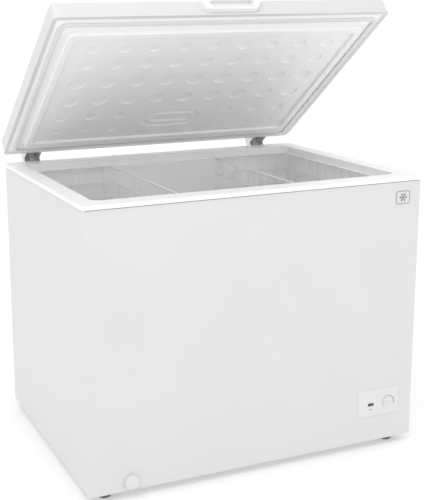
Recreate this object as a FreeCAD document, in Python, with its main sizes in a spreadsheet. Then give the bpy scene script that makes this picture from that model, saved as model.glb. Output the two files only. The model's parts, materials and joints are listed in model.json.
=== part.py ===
import FreeCAD, Part
import math
import os
import Sketcher

# Chest freezer with its lid standing open.
# Millimetres. The origin is on the floor under the middle of the whole object with its
# lid open, +Z is up, the front faces -Y and +X is to the right of a person in front.
# The sub-parts are drawn about the middle of the cabinet, then moved forward together.

Vector = FreeCAD.Vector
doc = FreeCAD.newDocument("chest_freezer")

# ---------------------------------------------------------------- driving dimensions

DIMENSIONS = [
    ("cabinet_width", 990, "outer steel, left to right"),
    ("cabinet_depth", 730, "outer steel, front to back"),
    ("body_height", 764, "base pan to the top of the rim"),
    ("floor_gap", 22, "height of the levelling feet"),
    ("sheet", 1.0, "gauge of the painted steel"),
    ("side_flat", 45, "width of the rim's flat top at the sides"),
    ("front_flat", 54, "width of the rim's flat top at the front"),
    ("back_flat", 58, "width of the rim's flat top at the back"),
    ("collar_overhang", 2.5, "how far the rim's lip stands out of the steel"),
    ("collar_lip", 11, "height of the rim's outer lip"),
    ("collar_skin", 2.5, "wall of the rim moulding"),
    ("ledge_drop", 22, "from the rim down to the basket ledge"),
    ("ledge_width", 7, "width of the basket ledge"),
    ("collar_skirt", 36, "height of the rim's inner skirt"),
    ("liner_wall", 1.2, "gauge of the inner tub"),
    ("floor_foam", 60, "from the base pan to the tub's floor"),
    ("step_width", 235, "tub step over the machine compartment"),
    ("step_height", 250, "height of that step above the tub's floor"),
    ("housing_width", 245, "machine compartment, left to right"),
    ("housing_height", 254, "machine compartment, bottom to top"),
    ("lid_width", 996, "outer skin of the lid"),
    ("lid_overhang", 3.5, "lid's front edge ahead of the cabinet's front"),
    ("lid_setback", 33, "lid's back edge ahead of the cabinet's back"),
    ("lid_lift", 5, "lid's lower edge above the rim when shut"),
    ("lid_thickness", 46, "side wall of the lid"),
    ("lid_skin", 1.2, "wall of the lid's outer skin"),
    ("lid_angle", 36.7, "how far the lid stands open, in degrees"),
    ("pivot_back", 18, "hinge axis behind the cabinet's back"),
    ("pivot_drop", 50, "hinge axis under the rim"),
    ("hinge_offset", 398, "hinge centre from the middle of the cabinet"),
    ("setback", 33, "the whole object's middle behind the cabinet's middle"),
    ("plug_depth", 14, "how far the lid's inner panel reaches down"),
    ("basket_width", 262, "left to right"),
    ("basket_height", 250, "top wire to bottom grid"),
    ("wire", 3.2, "wire of the baskets"),
    ("foot_offset_x", 440, "levelling foot from the middle"),
    ("foot_offset_y", 322, "levelling foot from the middle"),
]

sheet = doc.addObject("Spreadsheet::Sheet", "dims")
for row, (alias, number, note) in enumerate(DIMENSIONS, 1):
    sheet.set(f"A{row}", note)
    sheet.set(f"B{row}", str(number))
    sheet.setAlias(f"B{row}", alias)
doc.recompute()

# Places that many sub-parts share, as expressions on the sheet.
SIDE = "(dims.cabinet_width / 2)"
BACK = "(dims.cabinet_depth / 2)"
FRONT = "(-dims.cabinet_depth / 2)"
FLOOR = "(dims.floor_gap)"
RIM = "(dims.floor_gap + dims.body_height)"
OPEN_SIDE = f"({SIDE} - dims.side_flat)"
OPEN_FRONT = f"({FRONT} + dims.front_flat)"
OPEN_BACK = f"({BACK} - dims.back_flat)"
LINER_SIDE = f"({OPEN_SIDE} - dims.ledge_width + dims.collar_skin)"
LINER_FRONT = f"({OPEN_FRONT} + dims.ledge_width - dims.collar_skin)"
LINER_BACK = f"({OPEN_BACK} - dims.ledge_width + dims.collar_skin)"
LINER_TOP = f"({RIM} - dims.ledge_drop - dims.collar_skin)"
TUB_FLOOR = "(dims.floor_gap + dims.floor_foam)"
HOUSING_LEFT = f"({SIDE} - dims.sheet - dims.housing_width)"
HOUSING_TOP = "(dims.floor_gap + dims.housing_height)"
LID_SIDE = "(dims.lid_width / 2)"
LID_FRONT = f"({FRONT} - dims.lid_overhang)"
LID_BACK = f"({BACK} - dims.lid_setback)"
LID_LOW = f"({RIM} + dims.lid_lift)"
LID_TOP = f"({RIM} + dims.lid_lift + dims.lid_thickness)"
PIVOT_Y = f"({BACK} + dims.pivot_back)"
PIVOT_Z = f"({RIM} - dims.pivot_drop)"

# Corner radii and small sizes that belong to one place each.
CABINET_CORNER = 8
SHEET_BEND = 4
OPENING_CORNER = 25
LINER_CORNER = 20
LID_CORNER = 15
LID_TOP_EDGE = 5
LID_HEM = 7


def value(expression):
    """The number that an expression on the sheet has now."""
    return float(sheet.evalExpression(expression))


# ---------------------------------------------------------------- building helpers

nodes = {}


def place(obj, base):
    """Bind an object's position to three expressions."""
    for axis, expression in zip("xyz", base):
        obj.setExpression(f"Placement.Base.{axis}", str(expression))


def block(x, y, z):
    """A box between two expressions along each axis."""
    obj = doc.addObject("Part::Box", "block")
    for size, (low, high) in zip(("Length", "Width", "Height"), (x, y, z)):
        obj.setExpression(size, f"({high}) - ({low})")
    place(obj, (x[0], y[0], z[0]))
    return obj


def rod(centre, radius, length, axis="Z"):
    """A cylinder from its centre of base, along +Z, +Y or +X."""
    obj = doc.addObject("Part::Cylinder", "rod")
    obj.setExpression("Radius", str(radius))
    obj.setExpression("Height", str(length))
    place(obj, centre)
    turns = {"X": (Vector(0, 1, 0), 90), "Y": (Vector(1, 0, 0), -90), "Z": (Vector(0, 0, 1), 0)}
    obj.Placement.Rotation = FreeCAD.Rotation(*turns[axis])
    return obj


def cut(base, *tools):
    """Take one or more tools away from a base."""
    for tool in tools:
        result = doc.addObject("Part::Cut", "cut")
        result.Base = base
        result.Tool = tool
        base = result
    return base


def fuse(*pieces):
    """Join pieces into one solid."""
    result = doc.addObject("Part::MultiFuse", "fuse")
    result.Shapes = list(pieces)
    result.Refine = True
    return result


def group(pieces):
    """Several separate solids kept as one object."""
    result = doc.addObject("Part::Compound", "group")
    result.Links = list(pieces)
    return result


def soften(obj, radius, direction=None, low=None, high=None):
    """Round the edges along a direction, or the edges that lie between two heights."""
    doc.recompute()
    chosen = []
    for number, edge in enumerate(obj.Shape.Edges, 1):
        along = edge.tangentAt(edge.FirstParameter)
        straight = edge.Curve.TypeId == "Part::GeomLine"
        if direction is not None and not (straight and abs(along.dot(direction)) > 0.999):
            continue
        if low is not None and (edge.BoundBox.ZMin < low or edge.BoundBox.ZMax > high):
            continue
        chosen.append((number, radius, radius))
    result = doc.addObject("Part::Fillet", "softened")
    result.Base = obj
    result.Edges = chosen
    return result


def rounded(x, y, z, radius):
    """A box whose four upright edges are round."""
    return soften(block(x, y, z), radius, Vector(0, 0, 1))


def shaped(shape, label="shape"):
    """An object that holds a shape made with Part's own functions."""
    obj = doc.addObject("Part::Feature", label)
    obj.Shape = shape
    return obj


def run_of_tube(points, bend, radius):
    """A round tube along straight runs joined by tangent arcs."""
    points = [Vector(*p) for p in points]
    edges = []
    start = points[0]
    for before, corner, after in zip(points, points[1:], points[2:]):
        back = (before - corner).normalize()
        ahead = (after - corner).normalize()
        half = back.getAngle(ahead) / 2
        first = corner + back * (bend / math.tan(half))
        last = corner + ahead * (bend / math.tan(half))
        middle = corner + (back + ahead).normalize() * (bend / math.sin(half) - bend)
        edges.append(Part.LineSegment(start, first).toShape())
        edges.append(Part.Arc(first, middle, last).toShape())
        start = last
    edges.append(Part.LineSegment(start, points[-1]).toShape())
    profile = Part.Wire(Part.Circle(points[0], points[1] - points[0], radius).toShape())
    return shaped(Part.Wire(edges).makePipeShell([profile], True, False))


def sketch_on(body, role, outline):
    """A closed sketch of straight lines, its corners bound to expressions."""
    sketch = body.newObject("Sketcher::SketchObject", "outline")
    plane = next(f for f in body.Origin.OriginFeatures if f.Role == role)
    sketch.AttachmentSupport = [(plane, "")]
    sketch.MapMode = "FlatFace"
    corners = [Vector(value(str(a)), value(str(b)), 0) for a, b in outline]
    for this, following in zip(corners, corners[1:] + corners[:1]):
        sketch.addGeometry(Part.LineSegment(this, following), False)
    for number in range(len(corners)):
        following = (number + 1) % len(corners)
        sketch.addConstraint(Sketcher.Constraint("Coincident", number, 2, following, 1))
    for number, (across, up) in enumerate(outline):
        for kind, expression in (("DistanceX", across), ("DistanceY", up)):
            amount = value(str(expression))
            index = sketch.addConstraint(Sketcher.Constraint(kind, number, 1, amount))
            sketch.setExpression(f"Constraints[{index}]", str(expression))
    return sketch


def revolved(outline, centre, tilt=None):
    """A turned piece: (radius, height) corners swung about the upright axis."""
    body = doc.addObject("PartDesign::Body", "turned")
    sketch = sketch_on(body, "XZ_Plane", outline)
    spin = body.newObject("PartDesign::Revolution", "spin")
    spin.Profile = sketch
    spin.ReferenceAxis = (sketch, ["V_Axis"])
    spin.Angle = 360
    place(body, centre)
    if tilt:
        body.Placement.Rotation = tilt
    return body


def padded(outline, role, length, centre):
    """A plate: a sketched outline with a thickness both sides of its plane."""
    body = doc.addObject("PartDesign::Body", "plate")
    sketch = sketch_on(body, role, outline)
    pad = body.newObject("PartDesign::Pad", "thickness")
    pad.Profile = sketch
    pad.setExpression("Length", str(length))
    pad.Midplane = True
    place(body, centre)
    return body


def node(label, *pieces):
    """Name a finished sub-part and move it to its place about the origin."""
    obj = group(pieces)
    obj.setExpression("Placement.Base.y", "-dims.setback")
    obj.Label = label
    nodes[label] = obj


def lid_node(label, *pieces):
    """A finished sub-part of the lid, drawn shut and turned open about the hinge."""
    shut = group(pieces)
    pivot = Vector(0, value(PIVOT_Y), value(PIVOT_Z))
    opening = FreeCAD.Rotation(Vector(-1, 0, 0), value("dims.lid_angle"))
    shut.Placement = FreeCAD.Placement(Vector(0, 0, 0), opening, pivot)
    node(label, shut)


def screw(centre, axis, outwards, head=5, shank=2, reach=6):
    """A pan-head screw: its head on the surface, its shank into the hole behind."""
    step = {"X": 0, "Y": 1, "Z": 2}[axis]
    head_start = list(centre)
    shank_start = list(centre)
    HEAD_HEIGHT = 2.2
    if outwards > 0:
        shank_start[step] = f"{centre[step]} - {reach}"
    else:
        head_start[step] = f"{centre[step]} - {HEAD_HEIGHT}"
    whole = fuse(
        rod(head_start, head, HEAD_HEIGHT, axis),
        rod(shank_start, shank, reach, axis),
    )
    return whole


# ---------------------------------------------------------------- cabinet shell


def build_wrapper():
    """One sheet bent round the left side, the front and the right side, with returns behind."""
    top = f"{RIM} - 3"
    outer = rounded((f"-{SIDE}", SIDE), (FRONT, BACK), (FLOOR, top), SHEET_BEND)
    inner = rounded(
        (f"-{SIDE} + dims.sheet", f"{SIDE} - dims.sheet"),
        (f"{FRONT} + dims.sheet", f"{BACK} - dims.sheet"),
        (f"{FLOOR} - 1", f"{top} + 1"),
        SHEET_BEND - 1,
    )
    open_back = block((f"-{SIDE} + {SHEET_BEND}", f"{SIDE} - {SHEET_BEND}"),
                      (f"{BACK} - 3", f"{BACK} + 1"), (f"{FLOOR} - 1", f"{top} + 1"))
    switch_hole = block((325, 446), (f"{FRONT} - 1", f"{FRONT} + 3"), (106, 168))
    drain_hole = rod((-380, f"{FRONT} - 1", 47), 9, 4, "Y")
    node("outer_wrapper", cut(outer, inner, open_back, switch_hole, drain_hole))


GRILLE = {"left": 300, "right": 480, "low": 46, "high": 256}
GLAND = (275, 80)


def screw_rows(centres):
    """A small cutter for each screw hole along Y."""
    return group([rod((x, f"{BACK} - 8", z), 2.05, 20, "Y") for x, z in centres])


def grille_screws():
    """Screw places at the grille's four corners."""
    inset = 6
    return [(x, z) for x in (GRILLE["left"] + inset, GRILLE["right"] - inset)
            for z in (GRILLE["low"] + inset, GRILLE["high"] - inset)]


def hinge_screws(side):
    """Screw places on the foot of one hinge, as expressions."""
    return [(f"{side} * dims.hinge_offset + {dx}", f"{RIM} - {drop}")
            for dx in (-16, 16) for drop in (95, 140)]


def build_back_panel():
    """Flat back sheet with the openings for the grille, the power lead and the screws."""
    sheet_body = block(
        (f"-{SIDE} + {SHEET_BEND}", f"{SIDE} - {SHEET_BEND}"),
        (f"{BACK} - 2", f"{BACK} - 2 + 2 * dims.sheet"),
        (f"{FLOOR} + dims.sheet", f"{RIM} - 3"),
    )
    vent = block((GRILLE["left"] + 14, GRILLE["right"] - 14), (f"{BACK} - 5", f"{BACK} + 5"),
                 (GRILLE["low"] + 14, GRILLE["high"] - 14))
    lead = rod((GLAND[0], f"{BACK} - 5", GLAND[1]), 8, 10, "Y")
    holes = screw_rows(grille_screws() + hinge_screws(-1) + hinge_screws(1))
    node("back_panel", cut(sheet_body, vent, lead, holes))


def build_base_pan():
    """Bottom sheet with air slots under the machine compartment and holes for the feet."""
    pan = rounded(
        (f"-{SIDE} + dims.sheet", f"{SIDE} - dims.sheet"),
        (f"{FRONT} + dims.sheet", f"{BACK} - 2"),
        (FLOOR, f"{FLOOR} + dims.sheet"),
        SHEET_BEND - 1,
    )
    slots = [block((290, 470), (y, y + 8), (f"{FLOOR} - 1", f"{FLOOR} + 3"))
             for y in range(-250, 60, 30)]
    stems = [rod((f"{sx} * dims.foot_offset_x", f"{sy} * dims.foot_offset_y", f"{FLOOR} - 1"), 6, 4)
             for sx in (-1, 1) for sy in (-1, 1)]
    node("base_pan", cut(pan, group(slots), group(stems)))


# Tubes: the heights of their passes, and where their ends come down to the compartment.
CONDENSER_LEVELS = [345 + 72 * k for k in range(6)]
EVAPORATOR_LEVELS = [375 + 62 * k for k in range(6)]
CONDENSER_ENDS = (316, 332)
EVAPORATOR_ENDS = (200, 216)
TUBE_LOW = 255
BULB_Y = 20
CONDENSER_R = 2.4
CONDENSER_BEND = 12
EVAPORATOR_BEND = 14
EVAPORATOR_R = 3.5


def condenser_x():
    return value(f"{SIDE} - dims.sheet") - CONDENSER_R - 0.15


def condenser_y():
    return value(f"{FRONT} + dims.sheet") + CONDENSER_R + 0.15


def evaporator_x():
    return value(f"{LINER_SIDE} + dims.liner_wall") + EVAPORATOR_R + 0.15


def evaporator_y():
    low = value(f"{LINER_FRONT} - dims.liner_wall") - EVAPORATOR_R - 0.15
    high = value(f"{LINER_BACK} + dims.liner_wall") + EVAPORATOR_R + 0.15
    return low, high


def build_coils():
    """Both coils climb the walls pass by pass, and both ends drop into the compartment."""
    x, y = condenser_x(), condenser_y()
    path = [(x, CONDENSER_ENDS[0], TUBE_LOW)]
    for number, z in enumerate(CONDENSER_LEVELS):
        last = number == len(CONDENSER_LEVELS) - 1
        right = CONDENSER_ENDS[1] if last else CONDENSER_ENDS[0]
        one_way = [(x, CONDENSER_ENDS[0], z), (x, y, z), (-x, y, z), (-x, CONDENSER_ENDS[0], z)]
        if number % 2:
            one_way = one_way[::-1]
            one_way[-1] = (x, right, z)
        path += one_way
    path.append((x, CONDENSER_ENDS[1], TUBE_LOW))
    node("condenser_coil", run_of_tube(path, CONDENSER_BEND, CONDENSER_R))

    x = evaporator_x()
    front, back = evaporator_y()
    path = [(x, EVAPORATOR_ENDS[0], TUBE_LOW)]
    for number, z in enumerate(EVAPORATOR_LEVELS):
        last = number == len(EVAPORATOR_LEVELS) - 1
        turn = (x - 60, back, z)
        loop = [(x, EVAPORATOR_ENDS[0], z), (x, front, z), (-x, front, z), (-x, back, z), turn]
        if number % 2:
            loop = loop[::-1]
            loop[-1] = (x, EVAPORATOR_ENDS[1] if last else EVAPORATOR_ENDS[0], z)
        path += loop
    path.append((x, EVAPORATOR_ENDS[1], TUBE_LOW))
    node("evaporator_coil", run_of_tube(path, EVAPORATOR_BEND, EVAPORATOR_R))


def build_foam():
    """Rigid foam between the steel and the tub, grooved for both coils."""
    whole = rounded(
        (f"-{SIDE} + dims.sheet", f"{SIDE} - dims.sheet"),
        (f"{FRONT} + dims.sheet", f"{BACK} - 8"),
        (f"{FLOOR} + dims.sheet", f"{RIM} - dims.collar_lip - 1"),
        SHEET_BEND - 1,
    )
    tub = block(
        (f"-{LINER_SIDE} - dims.liner_wall", f"{LINER_SIDE} + dims.liner_wall"),
        (f"{LINER_FRONT} - dims.liner_wall", f"{LINER_BACK} + dims.liner_wall"),
        (f"{TUB_FLOOR} - dims.liner_wall", f"{RIM}"),
    )
    step = block(
        (f"{LINER_SIDE} - dims.step_width + dims.liner_wall", f"{SIDE}"),
        (FRONT, BACK),
        (0, f"{TUB_FLOOR} + dims.step_height - dims.liner_wall"),
    )
    rim_room = block((f"-{OPEN_SIDE} - 3", f"{OPEN_SIDE} + 3"),
                     (f"{OPEN_FRONT} - 3", f"{OPEN_BACK} + 3"),
                     (f"{RIM} - 40", f"{RIM}"))
    compartment = block((f"{HOUSING_LEFT}", f"{SIDE}"), (FRONT, BACK), (0, f"{HOUSING_TOP}"))

    tools = [cut(tub, step), rim_room, compartment]
    groove = 8
    deep = condenser_x() - CONDENSER_R - 0.4
    for z in CONDENSER_LEVELS:
        outside = block((f"-{SIDE}", SIDE), (FRONT, BACK), (z - 3, z + 3))
        inside = rounded((-deep, deep), (condenser_y() + CONDENSER_R + 0.4, f"{BACK} + 20"),
                         (z - 4, z + 4), CONDENSER_BEND - CONDENSER_R - 0.4)
        tools.append(cut(outside, inside))
    for side in (-1, 1):
        column = sorted((side * deep, side * 495))
        low = TUBE_LOW if side > 0 else CONDENSER_LEVELS[0]
        tools.append(block(column, (CONDENSER_ENDS[0] - CONDENSER_BEND - 2, CONDENSER_ENDS[1] + 5),
                           (low, CONDENSER_LEVELS[-1] + 4)))
    reach = evaporator_x() + EVAPORATOR_R + 0.4
    front, back = evaporator_y()
    front -= EVAPORATOR_R + 0.4
    back += EVAPORATOR_R + 0.4
    for z in EVAPORATOR_LEVELS:
        tools.append(block((-reach, reach), (front, back), (z - groove / 2, z + groove / 2)))
    tools.append(block((reach - 84, reach - 44), (back - 20, back),
                       (EVAPORATOR_LEVELS[0] - 4, EVAPORATOR_LEVELS[-1] + 4)))
    tools.append(block((reach - 20, reach),
                       (EVAPORATOR_ENDS[0] - EVAPORATOR_BEND - 5, EVAPORATOR_ENDS[1] + 6),
                       (TUBE_LOW, EVAPORATOR_LEVELS[-1] + 4)))
    tools.append(block((reach - 12, reach), (BULB_Y - 5, BULB_Y + 5), (TUBE_LOW, 350)))
    drain_room = rod((-380, DRAIN_Y, FLOOR), 10.5, 70)
    drain_run = rod((-380, f"{FRONT} - 1", 47), 9, f"{DRAIN_Y} - {FRONT} + 1 + 9", "Y")
    nuts = [block((f"{sx} * dims.foot_offset_x - 12", f"{sx} * dims.foot_offset_x + 12"),
                  (f"{sy} * dims.foot_offset_y - 12", f"{sy} * dims.foot_offset_y + 12"),
                  (FLOOR, f"{FLOOR} + 24")) for sx in (-1, 1) for sy in (-1, 1)]
    node("cabinet_foam", cut(whole, *tools, drain_room, drain_run, group(nuts)))


DRAIN_Y = -255


def build_liner():
    """Inner tub with a step over the machine compartment and a drain hole in its floor."""
    top = LINER_TOP
    wall = "dims.liner_wall"
    shell = rounded(
        (f"-{LINER_SIDE} - {wall}", f"{LINER_SIDE} + {wall}"),
        (f"{LINER_FRONT} - {wall}", f"{LINER_BACK} + {wall}"),
        (f"{TUB_FLOOR} - {wall}", top),
        LINER_CORNER + 1,
    )
    under_step = block(
        (f"{LINER_SIDE} - dims.step_width + {wall}", f"{SIDE}"), (FRONT, BACK),
        (0, f"{TUB_FLOOR} + dims.step_height - {wall}"),
    )
    room = rounded(
        (f"-{LINER_SIDE}", LINER_SIDE), (LINER_FRONT, LINER_BACK),
        (TUB_FLOOR, f"{top} + 1"), LINER_CORNER,
    )
    step = block(
        (f"{LINER_SIDE} - dims.step_width", f"{SIDE}"), (FRONT, BACK),
        (0, f"{TUB_FLOOR} + dims.step_height"),
    )
    drain = rod((-380, DRAIN_Y, f"{TUB_FLOOR} - 5"), 8, 10)
    node("inner_liner", cut(cut(shell, under_step), cut(room, step), drain))


def build_collar():
    """Rim moulding: outer lip, flat top, basket ledge and inner skirt in one piece."""
    over = "dims.collar_overhang"
    skin = "dims.collar_skin"
    ledge = "dims.ledge_width"
    cap = rounded((f"-{SIDE} - {over}", f"{SIDE} + {over}"), (f"{FRONT} - {over}", f"{BACK} + {over}"),
                  (f"{RIM} - dims.collar_lip", RIM), CABINET_CORNER)
    cap = soften(cap, 2, None, value(RIM) - 0.1, value(RIM) + 0.1)
    under = rounded((f"-{SIDE}", SIDE), (FRONT, BACK), (f"{RIM} - dims.collar_lip - 1", f"{RIM} - 3"), 4)
    upper = rounded((f"-{OPEN_SIDE} - {skin}", f"{OPEN_SIDE} + {skin}"),
                    (f"{OPEN_FRONT} - {skin}", f"{OPEN_BACK} + {skin}"),
                    (f"{RIM} - dims.ledge_drop - {skin}", RIM), OPENING_CORNER + 2)
    lower = rounded((f"-{OPEN_SIDE} + {ledge} - {skin}", f"{OPEN_SIDE} - {ledge} + {skin}"),
                    (f"{OPEN_FRONT} + {ledge} - {skin}", f"{OPEN_BACK} - {ledge} + {skin}"),
                    (f"{RIM} - dims.collar_skirt", f"{RIM} - dims.ledge_drop"), LINER_CORNER)
    mouth = rounded((f"-{OPEN_SIDE}", OPEN_SIDE), (OPEN_FRONT, OPEN_BACK),
                    (f"{RIM} - dims.ledge_drop", f"{RIM} + 1"), OPENING_CORNER)
    throat = rounded((f"-{OPEN_SIDE} + {ledge}", f"{OPEN_SIDE} - {ledge}"),
                     (f"{OPEN_FRONT} + {ledge}", f"{OPEN_BACK} - {ledge}"),
                     (f"{RIM} - dims.collar_skirt - 1", f"{RIM}"), LINER_CORNER - 2)
    node("top_collar", cut(fuse(cut(cap, under), upper, lower), mouth, throat))


# ---------------------------------------------------------------- machine compartment

COMPRESSOR = (385, 190)


def build_housing():
    """Galvanised box wall between the foam and the machinery."""
    depth = (f"{FRONT} + {SHEET_BEND}", f"{BACK} - {SHEET_BEND}")
    wall = block((HOUSING_LEFT, f"{HOUSING_LEFT} + 1"), depth, (f"{FLOOR} + dims.sheet", HOUSING_TOP))
    roof = block((HOUSING_LEFT, f"{SIDE} - dims.sheet"), depth, (f"{HOUSING_TOP} - 1", HOUSING_TOP))
    tubes = [block((465, 496), (CONDENSER_ENDS[0] - 5, CONDENSER_ENDS[1] + 5), (200, 300)),
             block((436, 458), (EVAPORATOR_ENDS[0] - 6, EVAPORATOR_ENDS[1] + 6), (200, 300)),
             block((444, 458), (BULB_Y - 5, BULB_Y + 5), (200, 300))]
    node("machine_housing", cut(fuse(wall, roof), *tubes))


def build_compressor():
    """Welded can on a plate that stands on four rubber grommets."""
    x, y = COMPRESSOR
    base = 36
    can = [(0, base), (62, base), (76, base + 14), (80, base + 30), (80, base + 62), (83, base + 62),
           (83, base + 68), (80, base + 68), (80, base + 100), (72, base + 124), (48, base + 142),
           (0, base + 148)]
    node("compressor_shell", revolved(can, (x, y, 0)))

    corners = [(x + dx, y + dy) for dx in (-82, 82) for dy in (-82, 82)]
    plate = rounded((x - 95, x + 95), (y - 95, y + 95), (33, 36), 10)
    bolt_holes = group([rod((cx, cy, 20), 4.2, 30) for cx, cy in corners])
    node("compressor_plate", cut(plate, bolt_holes))
    pan_top = f"{FLOOR} + dims.sheet"
    grommets = [cut(rod((cx, cy, pan_top), 12, 10), rod((cx, cy, 20), 4.2, 30)) for cx, cy in corners]
    node("compressor_grommets", *grommets)
    bolts = [fuse(rod((cx, cy, pan_top), 4, 16), rod((cx, cy, 36), 7, 5)) for cx, cy in corners]
    node("compressor_bolts", *bolts)
    relay = soften(block((x - 24, x + 24), (y - 118, y - 60), (70, 128)), 4, Vector(0, 1, 0))
    node("relay_cover", cut(relay, rod((x, y, 60), 83.05, 80)))


def build_tubes():
    """The lines between the compressor, the dryer and the ends of both coils."""
    x, y = COMPRESSOR
    cond = condenser_x()
    evap = evaporator_x()
    out = [(x + 40, y + 20, 182), (x + 40, y + 20, 214), (cond - 26, CONDENSER_ENDS[0], 215),
           (cond, CONDENSER_ENDS[0], 228), (cond, CONDENSER_ENDS[0], TUBE_LOW)]
    node("discharge_tube", run_of_tube(out, 8, CONDENSER_R))
    back = [(x + 10, y - 20, 185), (x + 10, y - 20, 226), (evap, EVAPORATOR_ENDS[0] - 40, 226),
            (evap, EVAPORATOR_ENDS[0], 236), (evap, EVAPORATOR_ENDS[0], TUBE_LOW)]
    node("suction_tube", run_of_tube(back, 8, EVAPORATOR_R))
    dryer_x = cond - 6
    body = [(0, 0), (2.4, 0), (2.4, 8), (9, 18), (9, 92), (2.4, 102), (2.4, 110), (0, 110)]
    node("filter_dryer", revolved(body, (dryer_x - 6, CONDENSER_ENDS[1] + 8, 90)))
    link = [(cond, CONDENSER_ENDS[1], TUBE_LOW), (cond, CONDENSER_ENDS[1], 226),
            (dryer_x - 6, CONDENSER_ENDS[1] + 8, 218), (dryer_x - 6, CONDENSER_ENDS[1] + 8, 200)]
    node("dryer_tube", run_of_tube(link, 5, CONDENSER_R))
    thin = [(dryer_x - 6, CONDENSER_ENDS[1] + 8, 90), (dryer_x - 6, CONDENSER_ENDS[1] + 8, 60),
            (dryer_x - 40, 330, 60), (dryer_x - 66, 330, 60), (dryer_x - 66, 330, 240),
            (evap, 250, 240), (evap, EVAPORATOR_ENDS[1], 244), (evap, EVAPORATOR_ENDS[1], TUBE_LOW)]
    node("capillary_tube", run_of_tube(thin, 8, 1.4))


def build_grille():
    """Louvred cover over the compartment's vent, held by four screws."""
    face = [(GRILLE["left"], GRILLE["low"]), (GRILLE["right"], GRILLE["low"]),
            (GRILLE["right"], GRILLE["high"]), (GRILLE["left"], GRILLE["high"])]
    plate = padded(face, "XZ_Plane", 3, (0, f"{BACK} + 1.5", 0))
    slots = []
    for z in range(GRILLE["low"] + 24, GRILLE["high"] - 24, 15):
        slots.append(block((GRILLE["left"] + 20, GRILLE["right"] - 20),
                           (f"{BACK} - 1", f"{BACK} + 4"), (z, z + 7)))
    holes = screw_rows(grille_screws())
    node("rear_grille", cut(plate, group(slots), holes))
    node("grille_screws", *[screw([x, f"{BACK} + 3", z], "Y", 1) for x, z in grille_screws()])
    x, z = GLAND
    gland = cut(fuse(rod((x, f"{BACK} - 7", z), 7.95, 9, "Y"), rod((x, BACK, z), 12, 5, "Y"),
                     rod((x, f"{BACK} + 5", z), 7, 9, "Y")),
                rod((x, f"{BACK} - 10", z), 4, 30, "Y"))
    node("power_gland", gland)


# ---------------------------------------------------------------- control panel

DIAL = (412, 134)
LENS = {"left": 343, "right": 364, "low": 128, "high": 141}


def build_controls():
    """Bezel with a green lamp window and a round thermostat dial."""
    face = FRONT
    bezel = soften(block((311, 451), (f"{face} - 4", face), (96, 178)), 6, Vector(0, 1, 0))
    dial_hole = rod((DIAL[0], f"{face} - 6", DIAL[1]), 15.4, 10, "Y")
    window = block((LENS["left"], LENS["right"]), (f"{face} - 6", f"{face} + 2"),
                   (LENS["low"], LENS["high"]))
    node("control_bezel", cut(bezel, dial_hole, window))
    lens = block((LENS["left"], LENS["right"]), (f"{face} - 4.6", face), (LENS["low"], LENS["high"]))
    node("indicator_lens", soften(lens, 1.5, Vector(0, 1, 0)))
    middle = (LENS["left"] + LENS["right"]) / 2
    node("indicator_lamp", rod((middle, face, (LENS["low"] + LENS["high"]) / 2), 4, 22, "Y"))

    box = block((386, 438), (f"{face} + 4", f"{face} + 38"), (112, 158))
    bore = rod((DIAL[0], face, DIAL[1]), 3.05, 30, "Y")
    node("thermostat_body", cut(box, bore))
    knob = [(0, -24), (3, -24), (3, 0), (15, 0), (15, 5), (13.5, 6.5), (0, 6.5)]
    towards_front = FreeCAD.Rotation(Vector(1, 0, 0), 90)
    disc = revolved(knob, (DIAL[0], f"{face} + 1", DIAL[1]), towards_front)
    slot = block((DIAL[0] - 10, DIAL[0] + 10), (f"{face} - 7", f"{face} - 3.5"),
                 (DIAL[1] - 1.5, DIAL[1] + 1.5))
    node("thermostat_dial", cut(disc, slot))

    sensor = [(400, value(face) + 30, 158), (400, value(face) + 30, 200), (400, -100, 200),
              (evaporator_x(), BULB_Y, 225), (evaporator_x(), BULB_Y, 345)]
    node("thermostat_bulb", run_of_tube(sensor, 10, 2))

    badge = soften(block((414, 460), (f"{face} - 1.8", face), (711, 748)), 4, Vector(0, 1, 0))
    node("badge_plate", badge)


# ---------------------------------------------------------------- drain


def build_drain():
    """Drain path from the tub's floor to the dial at the lower left of the front."""
    y = DRAIN_Y
    run = f"{y} - {FRONT}"
    upright = rod((-380, y, 38), 10, f"{TUB_FLOOR} - dims.liner_wall - 38")
    level = rod((-380, FRONT, 47), 8, run, "Y")
    inner_up = fuse(rod((-380, y, 40), 6.5, 60), rod((-380, y, 62), 8.3, 40))
    inner_level = rod((-380, f"{FRONT} - 1", 47), 6, f"{y} - {FRONT} + 1", "Y")
    node("drain_tube", cut(fuse(upright, level), inner_up, inner_level))
    ring = cut(rod((-380, f"{FRONT} - 2.5", 47), 24, 2.5, "Y"),
               rod((-380, f"{FRONT} - 4", 47), 6.3, 8, "Y"))
    node("drain_flange", ring)
    spout = cut(rod((-380, f"{FRONT} - 12", 47), 5.95, 52, "Y"),
                rod((-380, f"{FRONT} - 13", 47), 4.5, 60, "Y"))
    node("drain_spout", spout)

    # The cap turns on the spout: a hollow skirt outside it, a boss inside it and one notch.
    cap = [(0, 0), (20, 0), (20, 9), (18, 12.5), (0, 12.5)]
    towards_front = FreeCAD.Rotation(Vector(1, 0, 0), 90)
    disc = revolved(cap, (-380, f"{FRONT} - 3.3", 47), towards_front)
    pocket = cut(rod((-380, f"{FRONT} - 12.3", 47), 6.2, 14, "Y"),
                 rod((-380, f"{FRONT} - 20", 47), 4.45, 30, "Y"))
    mouth = block((-384, -376), (f"{FRONT} - 9", f"{FRONT} - 3"), (20, 42.5))
    grip = [block((-380 + s * 11 - 3, -380 + s * 11 + 3), (f"{FRONT} - 17", f"{FRONT} - 13.5"),
                  (34, 60)) for s in (-1, 1)]
    node("drain_cap", cut(disc, pocket, mouth, group(grip)))

    plug = [(0, -14), (7.95, -14), (7.95, 0), (14, 0), (14, 3), (6, 4.5), (6, 11), (0, 12)]
    node("drain_plug", revolved(plug, (-380, y, f"{TUB_FLOOR} + 0.05")))


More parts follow.
